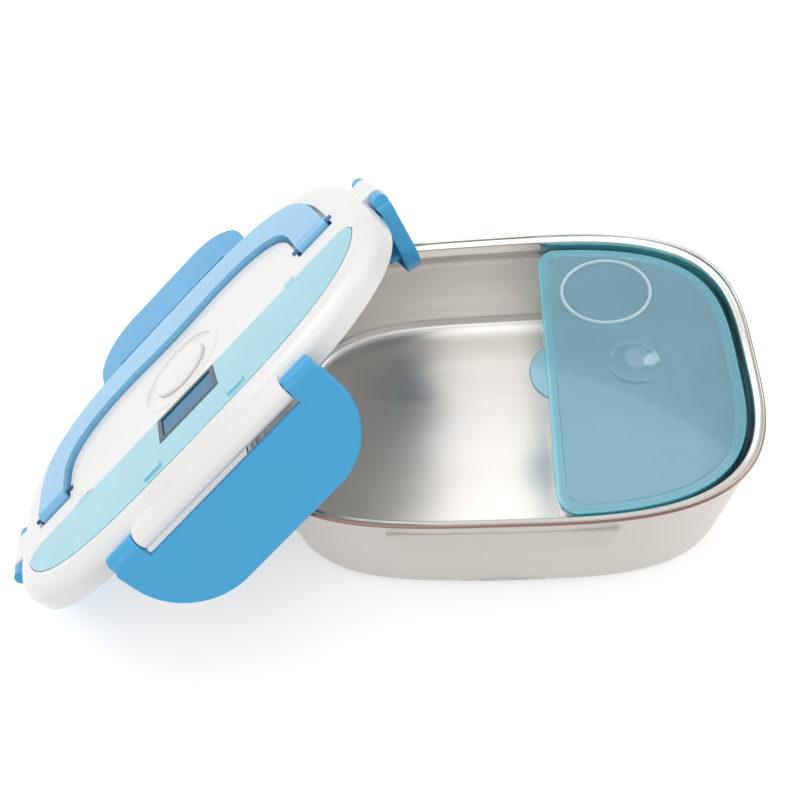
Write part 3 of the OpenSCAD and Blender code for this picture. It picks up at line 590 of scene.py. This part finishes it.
class LUNCHBOX_OT_casing(bpy.types.Operator):
    """Adds the outer shell of the casing with its catches and the recess of the inlet"""

    bl_idname = "lunchbox.casing"
    bl_label = "Casing"

    def execute(self, context):
        casing, _, colours = sizes()
        top, wall, foot = casing.rim_height - 3.4, casing.wall, casing.foot
        half_x, half_y = casing.half_length, casing.half_width
        outside = [(8.2, 0), (7.2, 0.15), (6.3, 0.6), (5.6, 1.2), (5, 2.2), (4.5, 3.8), (4.2, 6)]
        edge = [(1.6, -16), (0.95, -1.2), (1.05, -0.5), (1.5, 0), (2.1, 0), (2.25, -1), (2.5, -6),
                (1.6 + wall, -16)]
        profile = (above(foot, outside) + [(4, 11)] + above(top, edge) + [(4 + wall, 11), (6.4, 5.5)]
                   + above(foot, [(7.6, 2), (7.6, 0.4)]))
        shell = bowl("casing_moulding", half_x, half_y, profile, tube=True)
        long, short, draft = 50, 18, 1.5   # half the catches' widths, and how far the wall leans in there
        for turn, reach, half in ((0, half_y, long), (math.pi, half_y, long),
                                  (math.pi / 2, half_x, short), (-math.pi / 2, half_x, short)):
            combine(shell, catch(turn, reach - draft, half), "UNION")
        recess = RECESS_DEPTH - half_y
        combine(shell, along_y("recess_wall", arch_outline(1), recess, recess + 1.6), "UNION")
        combine(shell, along_y("recess", arch_outline(0), -half_y - 4, recess))
        wide, high = INLET_HALVES
        combine(shell, block("inlet_hole", (-wide, recess - 1, casing.inlet_height - high),
                             (wide, recess + 3, casing.inlet_height + high)))
        lamp_hole = turned("lamp_hole", [(1.5, -4), (1.5, 4)], 32)
        level = Matrix.Translation((LAMP_AT[0], recess, LAMP_AT[1])) @ Matrix.Rotation(math.pi / 2, 4, "X")
        combine(shell, moved(lamp_hole, level))
        hand_over(shell, "casing", "base_shell",
                  moulded_plastic("moulded_polypropylene_casing", colours.casing, 0.3, Coat_Weight=0.25,
                                  Coat_Roughness=0.12))
        return {"FINISHED"}


# ---- side-dish box ----


DISH_GAP = 0.4      # between the tray's floor and the side-dish box
DISH_WALL = 1.6     # floor of the side-dish box
PANEL_SINK = 0.8    # how far the cover's panel lies below its rim
BEAD = (56.5, 45.5, 21.4, 19.4)   # middle and half sizes of the cover's oval bead
BEAD_WIDTH = 0.05   # half the bead's width, as a part of its half size
DIMPLE_AT = (65, 2)
DIMPLE = (12.5, 4)  # radius and depth of the cover's dimple


def dish_outline():
    """Outline of the side-dish box: the tray's right end cut off straight, with round corners."""
    casing = sizes()[0]
    left, right, half = casing.dish_left, COVER_HIGH.x, COVER_HIGH.y
    corner, steps = 9, 80
    cut = math.acos(squared_back((left + corner) / right, casing.squareness))
    side = half * squared(math.sin(cut), casing.squareness)
    end = squircle(right, half, [-cut + 2 * cut * i / steps for i in range(steps + 1)])
    top = arc((left + corner, side - corner), corner, 90, 180, 10)[1:]
    bottom = arc((left + corner, corner - side), corner, 180, 270, 10)[:-1]
    return end + top + bottom


def dish_rings(profile):
    """Rings of the side-dish box from (inset, height, inset of the straight side) entries."""
    left, right, half = sizes()[0].dish_left, COVER_HIGH.x, COVER_HIGH.y
    return [(left + cut, right - inset, half - inset, height) for inset, height, cut in profile]


def within(point, border):
    """Whether a point in metres lies within a border, in millimetres, of the side-dish cover's outline."""
    return (point.x < (sizes()[0].dish_left + border) * MILLIMETRE
            or outside_of(point, COVER_HIGH.x - border, COVER_HIGH.y - border))


def on_bead(point):
    """Whether a point in metres lies within the width of the cover's oval bead."""
    x, y, half_x, half_y = (value * MILLIMETRE for value in BEAD)
    return abs(math.hypot((point.x - x) / half_x, (point.y - y) / half_y) - 1) < BEAD_WIDTH + 0.01


def oval_bead(height):
    """Raised oval bead on the cover's panel."""
    x, y, half_x, half_y = BEAD
    ring = primitive("torus", "oval_bead", major_segments=96, minor_segments=14, major_radius=1,
                     minor_radius=BEAD_WIDTH)
    for vertex in ring.data.vertices:
        vertex.co *= Vector((half_x, half_y, 24))
    return moved(ring, Matrix.Translation((x, y, height)))


def dimple_profile(grow=0.0):
    """Radii and heights of the round dimple from its middle up to its lip, grown outwards for its wall."""
    radius, depth = DIMPLE
    sphere = (radius * radius + depth * depth) / (2 * depth)
    reach = math.asin(radius / sphere)
    return [((sphere + grow) * math.sin(a), sphere - depth - (sphere + grow) * math.cos(a))
            for a in (reach * (0.04 + 0.96 * i / 12) for i in range(13))]


class LUNCHBOX_OT_side_dish(bpy.types.Operator):
    """Adds the clear side-dish box and its tinted cover"""

    bl_idname = "lunchbox.side_dish"
    bl_label = "Side-dish box"

    def execute(self, context):
        colours = sizes()[2]
        top = COVER_HIGH.z - 0.2
        floor = TRAY_LOW.z + TRAY_SHEET + DISH_GAP + DISH_WALL
        outside = [(16.2, -DISH_WALL, 6), (12.6, -0.3, 3.4), (10.8, 1, 2.8), (9.6, 2.4, 2.4), (8.6, 4.6, 2.3),
                   (8, 7, 2.2)]
        lip = [(3.2, -6, 1.8), (2.4, -2.4, 1.8), (2.6, -2.2, 2), (3.8, -2.2, 3.2), (4, -2.4, 3.4),
               (4.8, -6, 3.4)]
        inside = [(9.6, 7, 3.8), (10.2, 5, 3.9), (11.2, 3.4, 4), (12.4, 2, 4.4), (14, 1, 5), (17.6, 0, 7.4)]
        profile = above(floor, outside) + above(top, lip) + above(floor, inside)
        box = loft("side_dish_moulding", dish_outline(), dish_rings(profile))
        hand_over(box, "dish_box", "side_dish_box",
                  clear_plastic("clear_polypropylene", colours.clear, 0.08, 0.95))
        self.add_cover(top, top - PANEL_SINK, sizes()[0].dish_left, colours)
        return {"FINISHED"}

    def add_cover(self, top, panel, left, colours):
        """Adds the cover with its thick rim, its dimple, its bead and its lift tab."""
        rim = [(6, -1.8, 6), (1.6, -1.8, 1.4), (1.5, -5, 1.3), (0.7, -5, 0.7), (0.1, -4, 0.1), (0, -3, 0),
               (0, -1, 0), (0.25, -0.4, 0.25), (0.9, 0, 0.9), (3.6, 0, 3.6), (4.2, -0.15, 4.2),
               (4.5, -0.6, 4.5)]
        profile = above(top, rim) + [(4.9, panel, 4.9), (6.5, panel, 6.5)]
        cap = loft("side_dish_cap", dish_outline(), dish_rings(profile))
        middle = Matrix.Translation((*DIMPLE_AT, panel))
        wall, hollow = dimple_profile(1) + [(12.9, -0.4)], dimple_profile() + [(13.4, 0.02), (14.2, 0.2)]
        combine(cap, moved(turned("dimple_wall", wall, 72), middle), "UNION")
        combine(cap, moved(turned("dimple_hollow", hollow, 72), middle))
        combine(cap, oval_bead(panel), "UNION")
        tab = moved(turned("tab", [(16.6, 0), (17, 0.4), (17, 1.2), (16.6, 1.6)]),
                    Matrix.Translation((left + 9, 0, top - 3.4)))
        combine(tab, block("tab_cut", (left + 1, -20, top - 6), (left + 30, 20, top + 1)))
        combine(cap, tab, "UNION")
        hand_over(cap, "dish_cover", "side_dish_cover",
                  milky_plastic("tinted_polypropylene_panel", colours.dish_cover, 0.68))
        for part, tint, *values in (("rim", colours.dish_rim_tint_and_highlight, 0.5), ("edge", colours.dish_edge_glow, 0.35),
                                    ("bead", colours.dish_bead_highlight, 0.2, 0.06)):
            # The bead's pale material is a painted highlight.
            kind = "highlight_painted" if part == "bead" else "tinted"
            cap.data.materials.append(milky_plastic(f"{kind}_polypropylene_{part}", tint, *values))
        rim, edge, bead = 1, 2, 3
        for face in cap.data.polygons:
            raised = face.center.z > (panel + 0.1) * MILLIMETRE
            # The faces along the outline get the edge's painted glow.
            if within(face.center, 1) and face.center.x > (left - 0.3) * MILLIMETRE:
                face.material_index = edge
            # The rim's top gets its own thicker tint together with painted highlight.
            elif raised and within(face.center, 4.95):
                face.material_index = rim
            elif raised and on_bead(face.center):
                face.material_index = bead


# ---- lid ----


LATCH_AXIS = 7.0     # height of the latches' pins above the lid's lower edge
HANDLE_PINS = (0, -5, 14.2)   # middle of the handle's pins on the lid
HINGE_BOSS = 4.6     # radius of the bosses round the latches' pins
LID_WALL = 3.0
PANEL_TOP = 7.4      # top of the lid's inner panel
POCKET_FLOOR = 10.0  # floor of the handle's pocket
LUG_AT = 71          # distance of the spoon cover's lugs from the middle
HOOK = (-31.4, -28.4)   # lower and upper face of a latch's hook, from the pin
COMPARTMENT = (4, 9.4)  # how far the spoon compartment's wall stands in from its step, and its floor
COVER_GAP = 0.4      # between the spoon cover and the step that it lies in
COVER_THICK = 1.6
LABEL_SEAT = (18.8, 23.4, 1.4)   # half its width, and its far and near edge from the strip's straight edge
LID_GLOSS = {"Coat_Weight": 0.3, "Coat_Roughness": 0.1}   # skin of the lid, its vent and its handle


def lid_frame():
    """Matrix of the leaning lid, from its joints: X along the handle's pins and Z out of its top face."""
    swing = joint("handle_swing")
    x_axis = Vector(swing["axis"])
    z_axis = Vector(joint("lid_away")["axis"])
    turn = Matrix((x_axis, z_axis.cross(x_axis), z_axis)).transposed()
    pins = Vector(HANDLE_PINS) * MILLIMETRE
    return Matrix.Translation(Vector(swing["pos_m"]) - turn @ pins) @ turn.to_4x4()


class Hinge:
    """A latch's hinge: its turn about the lid, the lid's edge there and the sizes of the latch on it."""

    def __init__(self, turn, edge, out, boss, half, drop, corner, barrel, plate, hook):
        self.turn, self.edge, self.out, self.boss, self.half = turn, edge, out, boss, half
        self.drop, self.corner, self.barrel, self.plate, self.hook = drop, corner, barrel, plate, hook

    def matrix(self):
        """Its place on the lid: the pin along X, outward is -Y."""
        pin = Matrix.Translation((0, -self.edge - self.out, LATCH_AXIS))
        return Matrix.Rotation(self.turn, 4, "Z") @ pin


def lid_halves():
    """Half length and half width of the lid."""
    casing, lid, _ = sizes()
    return casing.half_length + lid.overlap, casing.half_width + lid.overlap


def hinges():
    """The hinges of the front, back, right and left latch."""
    lid = sizes()[1]
    half_x, half_y = lid_halves()
    large = {"out": 5.6, "boss": 44, "half": lid.large_latch_half, "drop": lid.large_latch_drop,
             "corner": 33, "barrel": 5, "plate": 3, "hook": 26}
    small = {"out": 4.6, "boss": 12, "half": lid.small_latch_half, "drop": lid.small_latch_drop,
             "corner": 20, "barrel": 4, "plate": 2.4, "hook": 14}
    return {"front": Hinge(0, half_y, **large), "back": Hinge(math.pi, half_y, **large),
            "right": Hinge(math.pi / 2, half_x, **small), "left": Hinge(-math.pi / 2, half_x, **small)}


def strip_outline(shrink):
    """Outline of the spoon compartment: straight at the back, with round corners, and the lid's curve in
    front."""
    casing, lid, _ = sizes()
    half_x, half_y = (half - lid.strip_border - shrink for half in lid_halves())
    corner, steps = lid.strip_corner, 120
    low = -lid.strip_edge - shrink - corner
    end = math.asin(squared_back(low / half_y, casing.squareness))
    front = squircle(half_x, half_y, [-math.pi - end + (2 * end + math.pi) * i / steps
                                      for i in range(steps + 1)])
    reach = front[-1][0] - corner
    return front + arc((reach, low), corner, 0, 90)[1:] + arc((-reach, low), corner, 90, 180)[:-1]


def handle_plan(name, grow, low, high):
    """U-shaped solid of the carry handle's plan, grown by a gap."""
    lid = sizes()[1]
    half_x, half_y = lid.handle_half_length + grow, lid.handle_half_width + grow
    inner = squircle(lid.handle_half_length - lid.handle_arm - grow,
                     lid.handle_half_width - lid.handle_bar - grow)
    spread, far = 30, 200
    inner = [(x, y - lid.grip_bulge * math.exp(-(x / spread) ** 2) if y > 0 else y) for x, y in inner]
    piece = prism(name, squircle(half_x, half_y), low, high)
    combine(piece, prism("inside", inner, low - 1, high + 1))
    return combine(piece, block("front_half", (-far, -far, low - 1), (far, HANDLE_PINS[1] - grow, high + 1)))


class LUNCHBOX_OT_lid(bpy.types.Operator):
    """Adds the lid's outer shell with its pockets, hinge bosses and vent ring"""

    bl_idname = "lunchbox.lid"
    bl_label = "Lid shell"

    def execute(self, context):
        lid, colours = sizes()[1:]
        half_x, half_y = lid_halves()
        top, vent = lid.height, lid.vent_radius
        shoulder, inset, steps = 7, 9, 9
        crown = [(inset * (1 - math.cos(a)), shoulder + (top - shoulder) * math.sin(a))
                 for a in (math.pi / 2 * i / steps for i in range(steps + 1))]
        shell = bowl("lid_moulding", half_x, half_y, [(0.8, 0), (0.2, 0.35), (0, 1)] + crown)
        for hinge in hinges().values():
            root = hinge.out + LID_WALL
            web = [(root, -HINGE_BOSS), (root, HINGE_BOSS)] + arc((0, 0), HINGE_BOSS, 90, 270, 16)
            bar = along_x("boss", web, -hinge.boss, hinge.boss, edge=0.6)
            combine(shell, moved(bar, hinge.matrix()), "UNION")
        combine(shell, turned("vent_ring", [(vent + 0.6, top - 1), (vent + 0.4, top + 0.2),
                                            (vent - 0.4, top + 0.6), (vent - 1.6, top + 0.6)], 96), "UNION")
        combine(shell, prism("inside", squircle(half_x - LID_WALL, half_y - LID_WALL), -1, PANEL_TOP))
        combine(shell, turned("vent_seat", [(vent - 3, top - 0.6), (vent - 2.2, top - 0.2),
                                            (vent - 1.8, top + 2)], 96))
        combine(shell, handle_plan("pocket", 2, POCKET_FLOOR, top + 2))
        for side in (-1, 1):
            low, high = sorted(side * (lid.handle_half_length + reach) for reach in (2, -lid.handle_arm - 2))
            combine(shell, block("arm_end", (low, -13, POCKET_FLOOR), (high, -4.9, top + 2)))
        inward, floor = COMPARTMENT
        combine(shell, prism("compartment", strip_outline(inward), floor, top + 1))
        combine(shell, prism("strip_step", strip_outline(0), top - COVER_THICK - 0.1, top + 2))
        for middle in (-LUG_AT, LUG_AT):
            combine(shell, block("lug_slot", (middle - 3.4, -33, top - 3.4), (middle + 3.4, -25.2, top + 1)))
        soften(shell, 0.5)
        hand_over(shell, "lid", "lid_shell",
                  moulded_plastic("moulded_polypropylene_lid", colours.lid, 0.3, **LID_GLOSS), lid_frame())
        return {"FINISHED"}


class LUNCHBOX_OT_spoon_cover(bpy.types.Operator):
    """Adds the cover of the spoon compartment with its clips and the seat of its label"""

    bl_idname = "lunchbox.spoon_cover"
    bl_label = "Spoon cover"

    def execute(self, context):
        lid, colours = sizes()[1:]
        top = lid.height + 0.2
        hinge_y, hinge_z = -lid.strip_edge + 0.6, lid.height - 0.6
        cover = prism("spoon_cover_moulding", strip_outline(COVER_GAP), top - COVER_THICK, top)
        for middle in (-LUG_AT, LUG_AT):
            combine(cover, block("lug", (middle - 2.8, hinge_y - 2.6, hinge_z - 1.8),
                                 (middle + 2.8, hinge_y + 1.6, hinge_z + 1)), "UNION")
        for middle in (-25, 27):
            clip = block("clip", (middle - 5, -70, top - 3.6), (middle + 5, -66.6, top + 0.9))
            combine(cover, clip, "UNION")
        half, far, near = LABEL_SEAT
        combine(cover, block("label_seat", (-half, -lid.strip_edge - far, top - 0.8),
                             (half, -lid.strip_edge - near, top + 2)))
        soften(cover, 0.35)
        hand_over(cover, "spoon_lid", "spoon_cover",
                  moulded_plastic("translucent_polypropylene", colours.strip, 0.22, tone=0.06, flow_mm=30,
                                  Transmission_Weight=0.25, Coat_Weight=0.4, Coat_Roughness=0.08),
                  lid_frame())
        return {"FINISHED"}


class LUNCHBOX_OT_vent(bpy.types.Operator):
    """Adds the plug of the steam vent"""

    bl_idname = "lunchbox.vent"
    bl_label = "Vent plug"

    def execute(self, context):
        lid, colours = sizes()[1:]
        low = lid.height - 0.5
        disc = [(3, 0), (16.1, 0), (16.5, 0.3), (16.5, 1.2), (16.1, 1.8), (15.2, 2.2), (13, 2.5), (9, 2.8),
                (4, 3), (0.5, 3)]
        profile = [(3, 0.4)] + above(low, disc)
        hand_over(turned("vent_plug_moulding", profile, 96), "vent", "vent_plug",
                  moulded_plastic("moulded_polypropylene_vent", colours.lid, 0.3, tone=0.03, **LID_GLOSS),
                  lid_frame())
        return {"FINISHED"}


class LUNCHBOX_OT_handle(bpy.types.Operator):
    """Adds the carry handle that lies in its pocket"""

    bl_idname = "lunchbox.handle"
    bl_label = "Carry handle"

    def execute(self, context):
        lid, colours = sizes()[1:]
        low, half = POCKET_FLOOR + 0.2, lid.handle_thickness / 2
        handle = handle_plan("carry_handle_moulding", 0, low, low + lid.handle_thickness)
        for side in (-1, 1):
            middle = side * (lid.handle_half_length - lid.handle_arm / 2)
            barrel = rod("barrel", middle - lid.handle_arm / 2, middle + lid.handle_arm / 2, HANDLE_PINS[1],
                         low + half, half)
            combine(handle, barrel, "UNION")
        soften(handle, 1.5, segments=4)
        hand_over(handle, "handle", "carry_handle",
                  moulded_plastic("moulded_polypropylene_handle", colours.handle, 0.3, **LID_GLOSS),
                  lid_frame())
        return {"FINISHED"}


def latch_outline(hinge, inset=0.0):
    """Outline of a latch's plate in X and Z: a straight top and a lower edge with large round corners."""
    half, low = hinge.half - inset, inset - hinge.drop
    corner, shoulder = hinge.corner - inset, 4
    return (arc((half - shoulder, -shoulder), shoulder, 90, 0)
            + arc((half - corner, low + corner), corner, 0, -90, 24)
            + arc((corner - half, low + corner), corner, -90, -180, 24)
            + arc((shoulder - half, -shoulder), shoulder, 180, 90))


def latch_plate(hinge):
    """Latch at its own hinge: a plate with rounded edges, two ears round the pin and a hook inside."""
    barrel = hinge.barrel
    ear, inner = hinge.boss + 0.6, hinge.plate - barrel
    plate = along_y("latch", latch_outline(hinge), -barrel, inner, edge=min(1.3, hinge.plate * 0.45))
    for side in (-1, 1):
        low, high = sorted((side * ear, side * (hinge.half - 1.4)))
        combine(plate, rod("barrel", low, high, 0, 0, barrel, rounding=0.9), "UNION")
    slot = [(-ear, -barrel - 1.4), (ear, -barrel - 1.4), (ear, barrel + 1), (-ear, barrel + 1)]
    combine(plate, along_y("slot", slot, -barrel - 1, barrel + 2))
    hook = block("hook", (-hinge.hook, inner - 1, HOOK[0]), (hinge.hook, hinge.out + 5, HOOK[1]))
    return combine(plate, soften(hook, 0.5), "UNION")


def edge_below(inward, fold):
    """How far below the pin the lid's lower edge lies, at a distance in from the pin, on a folded latch."""
    return (LATCH_AXIS + 0.5 + inward * math.sin(fold)) / math.cos(fold)


def latch_walls(hinge, fold):
    """Walls round the edge of a small latch, cut back where it folds under the lid's edge."""
    radius, inner, thick, over = hinge.barrel, hinge.plate - hinge.barrel, 2.2, hinge.half + 1
    start = max(inner, (hinge.out + 0.6) * math.cos(fold) - LATCH_AXIS * math.sin(fold) - 0.5)
    walls = along_y("walls", latch_outline(hinge), -radius, radius, edge=0.9)
    round_bar = arc((0, 0), radius, 0, 180, 24) + arc((0, radius - hinge.drop), radius, 180, 360, 24)
    combine(walls, along_x("round_bar", round_bar, -over, over), "INTERSECT")
    combine(walls, along_y("hollow", latch_outline(hinge, thick), inner - 0.2, radius + 1))
    combine(walls, block("open_top", (thick - hinge.half, inner - 0.2, -10),
                         (hinge.half - thick, radius + 1, radius + 1)))
    edge = -edge_below(radius + 1, fold)
    relief = [(start, -radius), (start, -edge_below(start, fold)), (radius + 1, edge), (radius + 3, edge),
              (radius + 3, 0), (radius + 0.1, 0)]
    return combine(walls, along_x("relief", relief, -over, over))


class LUNCHBOX_OT_latches(bpy.types.Operator):
    """Adds the four latches, each swung out as it rests"""

    bl_idname = "lunchbox.latches"
    bl_label = "Latches"

    def execute(self, context):
        lid, colours = sizes()[1:]
        blue = moulded_plastic("moulded_abs_latch", colours.latch, 0.3, Specular_IOR_Level=0.35,
                               Coat_Weight=0.15, Coat_Roughness=0.1)
        for name, hinge in hinges().items():
            angle = getattr(lid, f"{name}_swing")
            latch = latch_plate(hinge)
            if name in ("left", "right"):
                combine(latch, latch_walls(hinge, max(0, -angle)), "UNION")
            latch.name = latch.data.name = f"{name}_latch_moulding"
            moved(latch, hinge.matrix() @ Matrix.Rotation(-angle, 4, "X"))
            hand_over(latch, f"{name}_latch", f"latch_{name}", blue, lid_frame())
        return {"FINISHED"}


# ---- nodes that keep their own shape ----


class LUNCHBOX_OT_finishes(bpy.types.Operator):
    """Gives the pieces that keep their own shape their finishes"""

    bl_idname = "lunchbox.finishes"
    bl_label = "Finishes of the small pieces"

    def execute(self, context):
        colours = sizes()[2]
        white = moulded_plastic("moulded_polypropylene_inside", colours.lid, 0.35)
        casing = moulded_plastic("moulded_polypropylene_flap", colours.casing, 0.3)
        pins = brushed_steel("ground_steel_pin", linear("#C2C4C6"), 0.25, "X", line_mm=0.3, run_mm=4)
        # Painted shade: the handle's pins are drawn dark navy to stand for the shadow in the gaps at the ends
        # of the handle's arms.
        pin_shade_dark = brushed_steel("handle_pin_painted_shade", linear("#3D5A86"), 0.35, "X", line_mm=0.3, run_mm=4)
        plated = brushed_steel("plated_brass_pin", linear("#D2D3D4"), 0.15, "Y", line_mm=0.3, run_mm=4)
        aluminium = brushed_steel("rolled_aluminium", linear("#C6C9CC"), 0.35, "X")
        finishes = {
            "inner_well": white, "lid_inner_panel": white, "bottom_cover": casing, "inlet_flap": casing,
            "rubber_feet": soft_silicone("moulded_rubber_feet", linear("#8A8A88")),
            "lid_gasket": soft_silicone("silicone_gasket", linear("#DDDFDD")),
            "vent_seal": soft_silicone("silicone_vent_seal", linear("#D5D7D6")),
            "lead_wires": soft_silicone("silicone_wire", linear("#B23A32")),
            "flap_pin": pins, "spoon_cover_pins": pins, "latch_pins": pins, "handle_pins": pin_shade_dark,
            "inlet_pins": plated, "heater_plate": aluminium, "heater_clamp": aluminium,
            "bottom_screws": brushed_steel("zinc_plated_screw", linear("#A9ABAD"), 0.35, "X", run_mm=2),
            "ptc_heaters": soft_silicone("ceramic_heater", linear("#77736C"), 0.7),
            "thermostat": moulded_plastic("phenolic_body", linear("#2C2C2E"), 0.45),
            "thermal_fuse": soft_silicone("glazed_ceramic_fuse", linear("#DAD4C8"), 0.25),
            "power_inlet": moulded_plastic("glass_filled_inlet", linear("#242426"), 0.4),
            "indicator_lamp": clear_plastic("red_lamp_lens", linear("#D8463C"), 0.1, 0.6),
            "label_frame": moulded_plastic("black_teal_frame", linear("#14333F"), 0.25),
            "label_card": moulded_plastic("teal_window", colours.window, 0.12, tone=0.14, flow_mm=6,
                                          Specular_IOR_Level=0.2),
        }
        for node, material in finishes.items():
            slots = frame["nodes"][node].data.materials
            slots.clear()
            slots.append(material)
        return {"FINISHED"}


# ---- stage ----


# Name, place in metres, height that it faces, width in metres and watts: a key from the upper left, a broad
# light above, a weak fill in front, and a card on the right that lights the lid's underside.
LAMPS = (("key", (-0.7, 0.4, 1.1), 0.04, 0.8, 4),
         ("top", (-0.05, 0.1, 1.3), 0.04, 1.4, 4.5),
         ("fill", (-0.3, -1.1, 0.8), 0.04, 1.0, 2.5),
         ("card", (0.9, -0.2, 0.35), 0.06, 0.8, 2))


class LUNCHBOX_OT_stage(bpy.types.Operator):
    """Adds the pale floor, the lamps, the world and the camera"""

    bl_idname = "lunchbox.stage"
    bl_label = "Stage"

    def execute(self, context):
        add_floor()
        for lamp in LAMPS:
            add_lamp(*lamp)
        add_world(context.scene)
        add_camera(context.scene)
        return {"FINISHED"}


def by_ray(tree, lighting, seen):
    """Mix of two shaders: one lights other things, and one is what the camera sees, by itself, in metal or
    through glass."""
    ray = add_node(tree, "ShaderNodeLightPath").outputs
    pair = add_node(tree, "ShaderNodeMath", {0: ray["Is Camera Ray"], 1: ray["Is Glossy Ray"]},
                    operation="MAXIMUM")
    any_of = add_node(tree, "ShaderNodeMath", {0: pair.outputs["Value"], 1: ray["Is Transmission Ray"]},
                      operation="MAXIMUM")
    return add_node(tree, "ShaderNodeMixShader",
                    {"Fac": any_of.outputs["Value"], 1: lighting, 2: seen}).outputs["Shader"]


def add_floor():
    """White sweep under the object that keeps its shadow."""
    floor = primitive("plane", "floor", size=12)
    material = bpy.data.materials.new("white_sweep")
    tree = empty_tree(material)
    paper = add_node(tree, "ShaderNodeBsdfDiffuse", {"Color": linear("#F4F4F4")}).outputs["BSDF"]
    glow = add_node(tree, "ShaderNodeEmission", {"Color": linear("#FFFFFF"), "Strength": 0.38})
    both = add_node(tree, "ShaderNodeAddShader", {0: paper, 1: glow.outputs["Emission"]})
    add_node(tree, "ShaderNodeOutputMaterial", {"Surface": by_ray(tree, paper, both.outputs["Shader"])})
    floor.data.materials.append(material)


def add_lamp(name, location, faced, side, power):
    """Round soft light that faces a height above the origin."""
    lamp = bpy.data.lights.new(name, "AREA")
    lamp.shape = "DISK"
    lamp.size = side
    lamp.energy = power
    holder = bpy.data.objects.new(name, lamp)
    bpy.context.collection.objects.link(holder)
    holder.location = location
    facing = Vector((0, 0, faced)) - Vector(location)
    holder.rotation_euler = facing.to_track_quat("-Z", "Y").to_euler()


def add_world(scene):
    """Even pale surroundings: white to the camera, and in metal and glass white at the sides and a little
    greyer overhead."""
    world = bpy.data.worlds.new("surroundings")
    scene.world = world
    tree = empty_tree(world)
    towards = add_node(tree, "ShaderNodeTexCoord").outputs["Generated"]
    height = add_node(tree, "ShaderNodeSeparateXYZ", {"Vector": towards}).outputs["Z"]
    shade = add_node(tree, "ShaderNodeMapRange",
                     {"Value": height, "From Min": 0.3, "From Max": 1.0, "To Min": 1.0, "To Max": 0.85})
    camera_ray = add_node(tree, "ShaderNodeLightPath").outputs["Is Camera Ray"]
    strength = add_node(tree, "ShaderNodeMath", {0: shade.outputs["Result"], 1: camera_ray},
                        operation="MAXIMUM")
    soft = add_node(tree, "ShaderNodeBackground", {"Color": linear("#F2F4F6"), "Strength": 0.5})
    white = add_node(tree, "ShaderNodeBackground",
                     {"Color": linear("#FFFFFF"), "Strength": strength.outputs["Value"]})
    add_node(tree, "ShaderNodeOutputWorld",
             {"Surface": by_ray(tree, soft.outputs["Background"], white.outputs["Background"])})


def add_camera(scene):
    """Camera above the front, rolled a little."""
    distance = 394.83
    elevation, azimuth, roll = (math.radians(a) for a in (57.38, 12.22, -12.9))
    aim = (-44.0, -16.53, TRAY_HIGH.z)
    focal_pixels, image_pixels, sensor = 850, 800, 36
    back = Vector((math.sin(azimuth) * math.cos(elevation), -math.cos(azimuth) * math.cos(elevation),
                   math.sin(elevation)))
    right = Vector((math.cos(azimuth), math.sin(azimuth), 0))
    up = back.cross(right)
    turned_right = math.cos(roll) * right + math.sin(roll) * up
    turned_up = math.cos(roll) * up - math.sin(roll) * right
    data = bpy.data.cameras.new("camera")
    data.sensor_width = sensor
    data.lens = focal_pixels * sensor / image_pixels
    data.clip_start = 0.01
    camera = bpy.data.objects.new("camera", data)
    bpy.context.collection.objects.link(camera)
    turn = Matrix((turned_right, turned_up, back)).transposed()
    camera.matrix_world = Matrix.Translation((back * distance + Vector(aim)) * MILLIMETRE) @ turn.to_4x4()
    scene.camera = camera
    scene.view_settings.view_transform = "Standard"


# ---- panel and registration ----


OPERATORS = (LUNCHBOX_OT_stage, LUNCHBOX_OT_casing, LUNCHBOX_OT_tray, LUNCHBOX_OT_side_dish, LUNCHBOX_OT_lid,
             LUNCHBOX_OT_spoon_cover, LUNCHBOX_OT_vent, LUNCHBOX_OT_handle, LUNCHBOX_OT_latches,
             LUNCHBOX_OT_finishes)


class LUNCHBOX_PT_sidebar(bpy.types.Panel):
    """Sizes, colours and pieces of the lunch box"""

    bl_idname = "LUNCHBOX_PT_sidebar"
    bl_label = "Lunch box"
    bl_space_type = "VIEW_3D"
    bl_region_type = "UI"
    bl_category = "Lunch box"

    def draw(self, context):
        for group in sizes():
            box = self.layout.box()
            for key in group.__annotations__:
                box.prop(group, key)
        for operator in OPERATORS:
            self.layout.operator(operator.bl_idname)


CLASSES = (LunchBoxCasing, LunchBoxLid, LunchBoxColours) + OPERATORS + (LUNCHBOX_PT_sidebar,)


def register():
    for entry in CLASSES:
        bpy.utils.register_class(entry)
    bpy.types.Scene.lunch_box_casing = PointerProperty(type=LunchBoxCasing)
    bpy.types.Scene.lunch_box_lid = PointerProperty(type=LunchBoxLid)
    bpy.types.Scene.lunch_box_colours = PointerProperty(type=LunchBoxColours)


def unregister():
    del bpy.types.Scene.lunch_box_casing
    del bpy.types.Scene.lunch_box_lid
    del bpy.types.Scene.lunch_box_colours
    for entry in reversed(CLASSES):
        bpy.utils.unregister_class(entry)


def main():
    register()
    for operator in OPERATORS:
        getattr(bpy.ops.lunchbox, operator.bl_idname.split(".")[1])()


if __name__ == "__main__":
    main()
